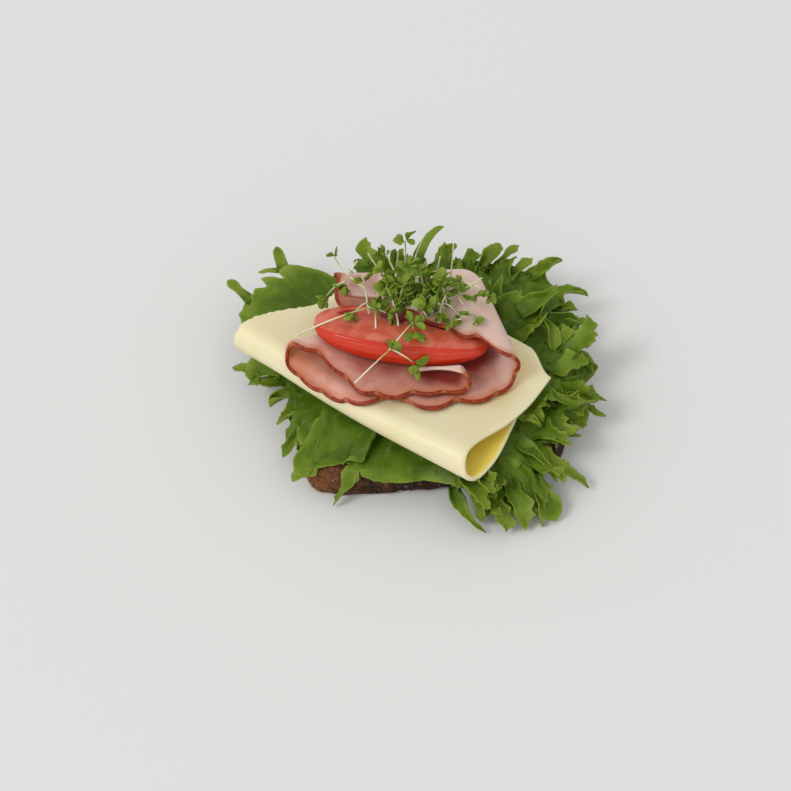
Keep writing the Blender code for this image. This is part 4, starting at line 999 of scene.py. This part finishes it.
def ham():
    finish = smoked_ham()
    top = CheeseTop()
    for number, (name, piece) in enumerate(HAM.items()):
        segments = [(length * MM, math.radians(turn)) for length, turn in piece["segments"]]
        length = sum(part for part, _ in segments)
        at = np.linspace(0.0, length, int(length / (0.5 * MM)))
        run, rise = bent_strip(segments, at)
        cusps = np.array(piece["cusps"], dtype=float)
        phase = np.interp(at / MM, cusps, np.arange(len(cusps)))
        span = np.interp(at / MM, (cusps[1:] + cusps[:-1]) / 2, np.diff(cusps)) / SCALLOP_SPAN
        arc = np.abs(np.sin(np.pi * phase)) ** 0.8
        arc = arc * smoothstep(piece["bare"], piece["bare"] - 6, at / MM)
        front = through(piece["front"], at / MM) * MM - SCALLOP_DEPTH * span * arc
        back = through(piece["back"], at / MM) * MM
        run_way, edge_way = (np.array((math.cos(a), math.sin(a))) for a in
                             (math.radians(piece["run_heading"]), math.radians(piece["edge_heading"])))
        shares = np.concatenate(((0.0, 0.006), np.linspace(0.018, 0.982, 40) ** 1.25, (0.994, 1.0)))
        across = front[None] + (back - front)[None] * shares[:, None]
        start, full, skew = piece["skew"]
        ran = run[None] + skew * smoothstep(start, full, at / MM)[None] * (across - front[None])
        x = piece["origin"][0] * MM + ran * run_way[0] + across * edge_way[0]
        y = piece["origin"][1] * MM + ran * run_way[1] + across * edge_way[1]
        z = top.at(x, y) + HAM_LIFT + HAM_THICKNESS / 2 + rise[None]
        points = np.stack((x, y, z), axis=-1)
        edge = across - front[None]
        inside = np.minimum(edge, (back - front)[None] - edge)
        thickness = HAM_THICKNESS * (0.55 + 0.45 * smoothstep(0.0, 0.6 * MM, inside))
        corners, faces = sheet_arrays(points, thickness)
        pale = smoothstep(7 * MM, 1 * MM, (back - front)[None] - edge)
        # Patches of painted shade, painted light and orange-brown tint, each on one face of the sheet.
        shade = {key: np.zeros((2, edge.size)) for key in ("edge_tint_and_bend_shade", "deep", "painted_light")}
        for key, face, (middle, half), (edge_middle, edge_half), strength in piece["shades"]:
            near = strength * np.exp(-((at / MM - middle) / half) ** 2)[None]
            near = np.minimum(1.0, near * np.exp(-((edge / MM - edge_middle) / edge_half) ** 4)).ravel()
            side = piece["up_side"] if face == "up" else 1 - piece["up_side"]
            shade[key][side] = np.maximum(shade[key][side], near)
        shade = {key: sides.ravel() for key, sides in shade.items()}
        bare = smoothstep(piece["bare"] - 1.5, piece["bare"] + 1.5, at / MM)[None]
        values = {"edge": both_sides(edge + 9 * MM * bare),
                  "pale": both_sides(np.maximum(pale, 0.7 * bare)), **shade,
                  "arc": both_sides(np.broadcast_to(smoothstep(0.10, 0.45, arc), edge.shape))}
        add_piece(name + "_slice", [(corners, faces, values)], finish, name)


# ---------------------------------------------------------------- tomato

TOMATO_LENGTH = 60 * MM
TOMATO_HEADING = -6.0
TOMATO_TILT = 3.5
TOMATO_PLACE = (-6.5 * MM, -4.8 * MM, 31.5 * MM)
# The pockets of gel in the cut face: middle and half length as shares of half the wedge, and middle and half
# depth in millimetres.
GEL_POCKETS = ((-0.08, 0.20, 3.2, 4.2), (0.50, 0.30, 1.8, 2.8), (-0.62, 0.12, 3.0, 2.4))


def tomato():
    """A wedge lying on its skin: pointed at both ends, with its cut face up and leaning to the front."""
    # From the front edge of its cut face round under the skin, as (depth, height) in millimetres.
    section = np.array(((-11.0, 9.2), (-13.6, 6.4), (-13.2, 3.0), (-9.6, 0.7), (-4.0, 0.0), (2.0, 0.6),
                        (5.8, 2.8), (8.2, 5.6), (7.8, 7.2), (4.0, 8.4), (-2.0, 9.4), (-7.6, 9.8)))
    corner_count, rings, sides = len(section), 90, 144
    closed = np.concatenate((section, section[:1]))
    bm = bmesh.new()
    bmesh.ops.create_uvsphere(bm, u_segments=sides, v_segments=rings, radius=1.0)
    face, gel = [], []
    for vert in bm.verts:
        along = -math.cos((0.5 + math.asin(max(-1.0, min(1.0, vert.co.z))) / math.pi) * math.pi)
        girth = max(0.0, 1.0 - along * along) ** 0.42
        turn = (math.atan2(vert.co.y, vert.co.x) / TAU * corner_count) % corner_count
        depth, height = (float(np.interp(turn, np.arange(corner_count + 1), closed[:, k])) for k in (0, 1))
        on_face = float(smoothstep(7.6, 8.2, turn)) if turn < 10 else 1.0
        on_face = max(on_face, float(smoothstep(0.55, 0.2, turn)))
        rim = min(abs(depth + 11.0), abs(depth - 8.0))
        ragged = 0.35 * noise.noise(Vector((along * 9.0, depth / 2.2, 0.3)))
        nearest = min(math.hypot((along - a) / b, (depth - c) / d) for a, b, c, d in GEL_POCKETS)
        pocket = on_face * float(smoothstep(1.1, 0.75, nearest + ragged))
        pocket *= float(smoothstep(0.8, 2.0, rim))
        height -= girth * (0.7 * pocket + 0.2 * on_face * noise.noise(Vector((along * 9, depth / 2.5, 1.7))))
        vert.co = (along * TOMATO_LENGTH / 2, depth * girth * MM, (4.0 + (height - 4.0) * girth) * MM)
        face.append(on_face * float(smoothstep(0.5, 1.3, rim)))
        gel.append(pocket)
    mesh = ball_mesh("tomato_wedge", bm, {"face": face, "gel": gel})
    turn = (0.0, math.radians(TOMATO_TILT), math.radians(TOMATO_HEADING))
    finish_piece("tomato_wedge", mesh, ripe_tomato(), "tomato", TOMATO_PLACE, turn)


# ---------------------------------------------------------------- cress

HEAP_MIDDLE = np.array((0.5, 3.4, 43.5)) * MM
HEAP_SIZE = np.array((18.0, 8.5, 7.5)) * MM
SPRIGS = 52
STEM_RADIUS = 0.29 * MM

# The sprigs with a place of their own: root, head and sag of the stem between them in millimetres, and the
# size of the leaves at its head, which is 0 for a bare stem.
PLACED_SPRIGS = (
    ((-41.5, -6.4, 35.5), (-17.0, -2.5, 45.5), (0, -1.5, 4), 1.1),
    ((-17.6, -2.4, 45.4), (-11.5, -4.6, 45.0), (0, 0, 0.5), 1.2),
    ((-22.0, -28.3, 36.8), (-10.6, -18.8, 42.4), (0, 0, 0.5), 1.25),
    ((-10.6, -18.8, 42.4), (-3.2, -9.5, 45.0), (0, 0, 0.5), 1.25),
    ((-9.8, -18.2, 42.4), (-2.6, -21.5, 39.5), (0, 0, 0.8), 1.25),
    ((-5.3, 15.3, 46.0), (-5.2, 14.2, 60.0), (0.5, 0, 0), 1.0),
    ((-18.5, 7.0, 44.0), (-29.3, 18.1, 48.0), (-3, 0, 0), 0.7),
    ((-21.4, 14.4, 50.0), (-25.7, 9.4, 44.0), (0, 0, 2), 1.0),
    ((-24.9, 11.4, 43.0), (-32.0, 6.9, 40.5), (0, 0, 3), 1.1),
    ((-11.1, 8.8, 46.0), (-17.8, 13.5, 55.0), (0, 0, -1), 0.0),
    ((-2.4, 15.5, 48.0), (0.8, 15.7, 60.0), (0, 0, 0), 0.0),
    ((10.3, 9.7, 45.0), (11.1, 12.4, 61.0), (0, 0, 0), 0.0),
    ((12.5, 4.1, 45.0), (21.0, 6.8, 50.0), (0, 0, 0), 0.0),
    ((5.6, 10.8, 48.0), (6.7, 11.0, 56.0), (0, 0, 0), 0.0),
    ((-0.2, 10.8, 48.0), (2.2, 9.4, 56.0), (0, 0, 0), 0.0),
    ((-8.0, 13.5, 48.0), (-7.5, 12.8, 56.0), (0, 0, 0), 0.0),
    ((-7.4, -7.9, 42.0), (-11.6, 2.8, 50.0), (1, 0, 2), 1.0),
    ((-17.4, -2.6, 42.0), (-19.1, 5.6, 49.0), (0, 0, 2), 0.8),
    ((6.2, -6.5, 42.0), (9.8, 2.3, 50.0), (-1.5, 0, 1), 0.9),
    ((3.2, -2.9, 43.0), (3.7, 0.2, 49.0), (0, 0, 0), 1.1),
    ((-17.8, 0.6, 44.0), (-22.0, -3.3, 44.0), (0, 0, 2), 1.0),
    ((-7.5, -1.1, 46.0), (-6.1, 0.5, 52.0), (0, 0, 0), 1.2),
    ((-12.8, 0.9, 46.0), (-11.1, 3.2, 51.0), (0, 0, 0), 1.0),
    ((4.3, -3.3, 44.0), (2.8, -4.3, 48.0), (0, 0, 0), 1.1),
    ((8.8, -0.2, 45.0), (7.1, 1.6, 53.0), (0, 0, 0), 1.1),
    ((7.3, -0.2, 45.0), (11.9, -4.1, 45.0), (0, 0, 2), 1.2),
    ((14.1, 7.9, 47.0), (18.7, 3.1, 47.0), (0, 0, 2), 1.0),
    ((16.4, 6.9, 47.0), (22.7, 3.2, 45.0), (0, 0, 2), 0.9),
    ((14.8, -1.7, 43.0), (18.6, -4.3, 42.5), (0, 0, 1), 0.9),
    ((-3.7, -4.1, 45.0), (-2.4, -10.2, 43.0), (0, 0, 2), 1.25),
    ((-4.6, 5.3, 50.0), (-4.5, 5.1, 57.0), (0, 0, 0), 1.0),
    ((1.4, 4.0, 48.0), (-0.2, 4.3, 55.0), (0, 0, 0), 0.9),
    ((-15.0, -8.5, 41.0), (-15.3, -3.3, 44.0), (0, 0, 0), 0.8),
    ((-11.3, 4.9, 47.0), (-13.6, 7.0, 53.0), (0, 0, 0), 0.8),
    ((14.0, -5.4, 43.0), (10.2, -7.2, 44.0), (0, 0, 0), 1.0),
    ((-9.0, 10.2, 50.0), (-11.3, 13.1, 54.0), (0, 0, 0), 0.5),
)


def leaflet(foot, way, up, length, rng):
    """One spoon-shaped leaflet, a closed sheet with a fold along its rib."""
    side = unit(np.cross(way, up))
    up = np.cross(side, way)
    u = np.linspace(0.0, 1.0, 8)[:, None]
    v = np.linspace(-1.0, 1.0, 7)[None]
    width = length * rng.uniform(0.29, 0.36) * (0.13 + 0.95 * np.sin(np.pi * u ** 1.35) ** 0.7)
    curve = rng.uniform(-0.35, 0.25)
    rise = length * (curve * u ** 2 + 0.12 * np.abs(v) * np.sin(np.pi * u))
    points = (foot + (u * length)[..., None] * way + (v * width)[..., None] * side + rise[..., None] * up)
    corners, faces = sheet_arrays(points, 0.32 * MM)
    rib = both_sides(np.broadcast_to(np.exp(-(v / 0.25) ** 2), points.shape[:2]))
    return corners, faces, {"rib": rib, "tint": rng.uniform(0.0, 1.0) * 0.7 + 0.3 * both_sides(u + 0 * v)}


def sprig(root, head, sag, size, rng):
    """A stem from root to head and, unless it is bare, the two leaves at its head, each of three leaflets."""
    middle = (root + head) / 2 + sag
    u = np.linspace(0.0, 1.0, 16)[:, None]
    path = root * (1 - u) ** 2 + 2 * middle * u * (1 - u) + head * u ** 2
    corners, faces = tube_arrays(path, STEM_RADIUS * (1.0 + 0.15 * np.cos(3 * u[:, 0])))
    green = smoothstep(0.35, 1.0, u[:, 0]) if size else np.full(len(u), 0.2)
    stem = (corners, faces, {"green": np.repeat(green, TUBE_SIDES)})
    leaves = []
    if size:
        way = unit(path[-1] - path[-3])
        side = unit(np.cross(way, unit(rng.normal(size=3))))
        for sign in (-1.0, 1.0):
            stalk = unit(0.75 * way + sign * 0.8 * side)
            fork = head + stalk * 0.9 * MM * size
            twist = np.cross(way, side)
            for spread in (-0.95, 0.0, 0.95):
                out = unit(stalk + spread * twist + rng.normal(size=3) * 0.15)
                length = rng.uniform(2.8, 4.1) * MM * size * (1.15 if spread == 0.0 else 0.9)
                leaves.append(leaflet(fork, out, unit(way + rng.normal(size=3) * 0.35), length, rng))
    return stem, leaves


def cress():
    rng = np.random.default_rng(11)
    sprigs = [(np.array(root) * MM, np.array(head) * MM, np.array(sag) * MM, size)
              for root, head, sag, size in PLACED_SPRIGS]
    for number in range(SPRIGS):
        way = unit(rng.normal(size=3))
        way[2] = abs(way[2])
        head = HEAP_MIDDLE + way * HEAP_SIZE * rng.uniform(0.3, 1.0)
        root = head * np.array((0.9, 0.8, 0.0)) + rng.normal(size=3) * 3.0 * MM
        root[2] = HEAP_MIDDLE[2] - rng.uniform(0.0, 1.5) * MM
        sag = np.array((0.0, 0.0, rng.uniform(0.0, 2.0) * MM)) + rng.normal(size=3) * 1.5 * MM
        sprigs.append((root, head, sag, 0.0 if number % 5 == 0 else rng.uniform(0.8, 1.15)))
    stems, leaves = [], []
    for root, head, sag, size in sprigs:
        stem, leaflets = sprig(root, head, sag, size, rng)
        stems.append(stem)
        leaves += leaflets
    add_piece("cress_leaves", leaves, cress_leaflet(), "cress")
    add_piece("cress_stems", stems, cress_stalk(), None)


# ---------------------------------------------------------------- floor, light and camera

def floor():
    bpy.ops.mesh.primitive_plane_add(size=6.0)
    plane = bpy.context.object
    plane.name = "floor"
    recipe = Recipe("floor")
    shade = recipe.mix(recipe.noise(0.4, 2.0), (0.760, 0.760, 0.745), (0.768, 0.768, 0.753))
    recipe.set(Base_Color=shade, Roughness=0.9, Specular_IOR_Level=0.1)
    plane.data.materials.append(recipe.material)


def area_light(name, place, target, size, power):
    data = bpy.data.lights.new(name, "AREA")
    data.shape = "DISK"
    data.size = size
    data.energy = power
    light = bpy.data.objects.new(name, data)
    light.location = place
    light.rotation_euler = (Vector(target) - Vector(place)).to_track_quat("-Z", "Y").to_euler()
    bpy.context.scene.collection.objects.link(light)


def studio():
    world = bpy.data.worlds.new("studio")
    world.use_nodes = True
    world.node_tree.nodes["Background"].inputs["Color"].default_value = (1.0, 1.0, 1.0, 1.0)
    world.node_tree.nodes["Background"].inputs["Strength"].default_value = 0.72
    scene = bpy.context.scene
    scene.world = world
    scene.view_settings.view_transform = "Standard"
    area_light("key", (-3.3, -2.1, 4.6), (0.0, 0.0, 0.02), 2.2, 120.0)


def camera():
    data = bpy.data.cameras.new("camera")
    data.lens = 85.0
    data.sensor_width = 36.0
    shot = bpy.data.objects.new("camera", data)
    shot.location = (-8.4 * MM, -413.6 * MM, 523.3 * MM)
    shot.rotation_euler = (math.radians(38.0), 0.0, 0.0)
    bpy.context.scene.collection.objects.link(shot)
    bpy.context.scene.camera = shot


camera()
studio()
floor()
bread()
lettuce()
cheese()
ham()
tomato()
cress()
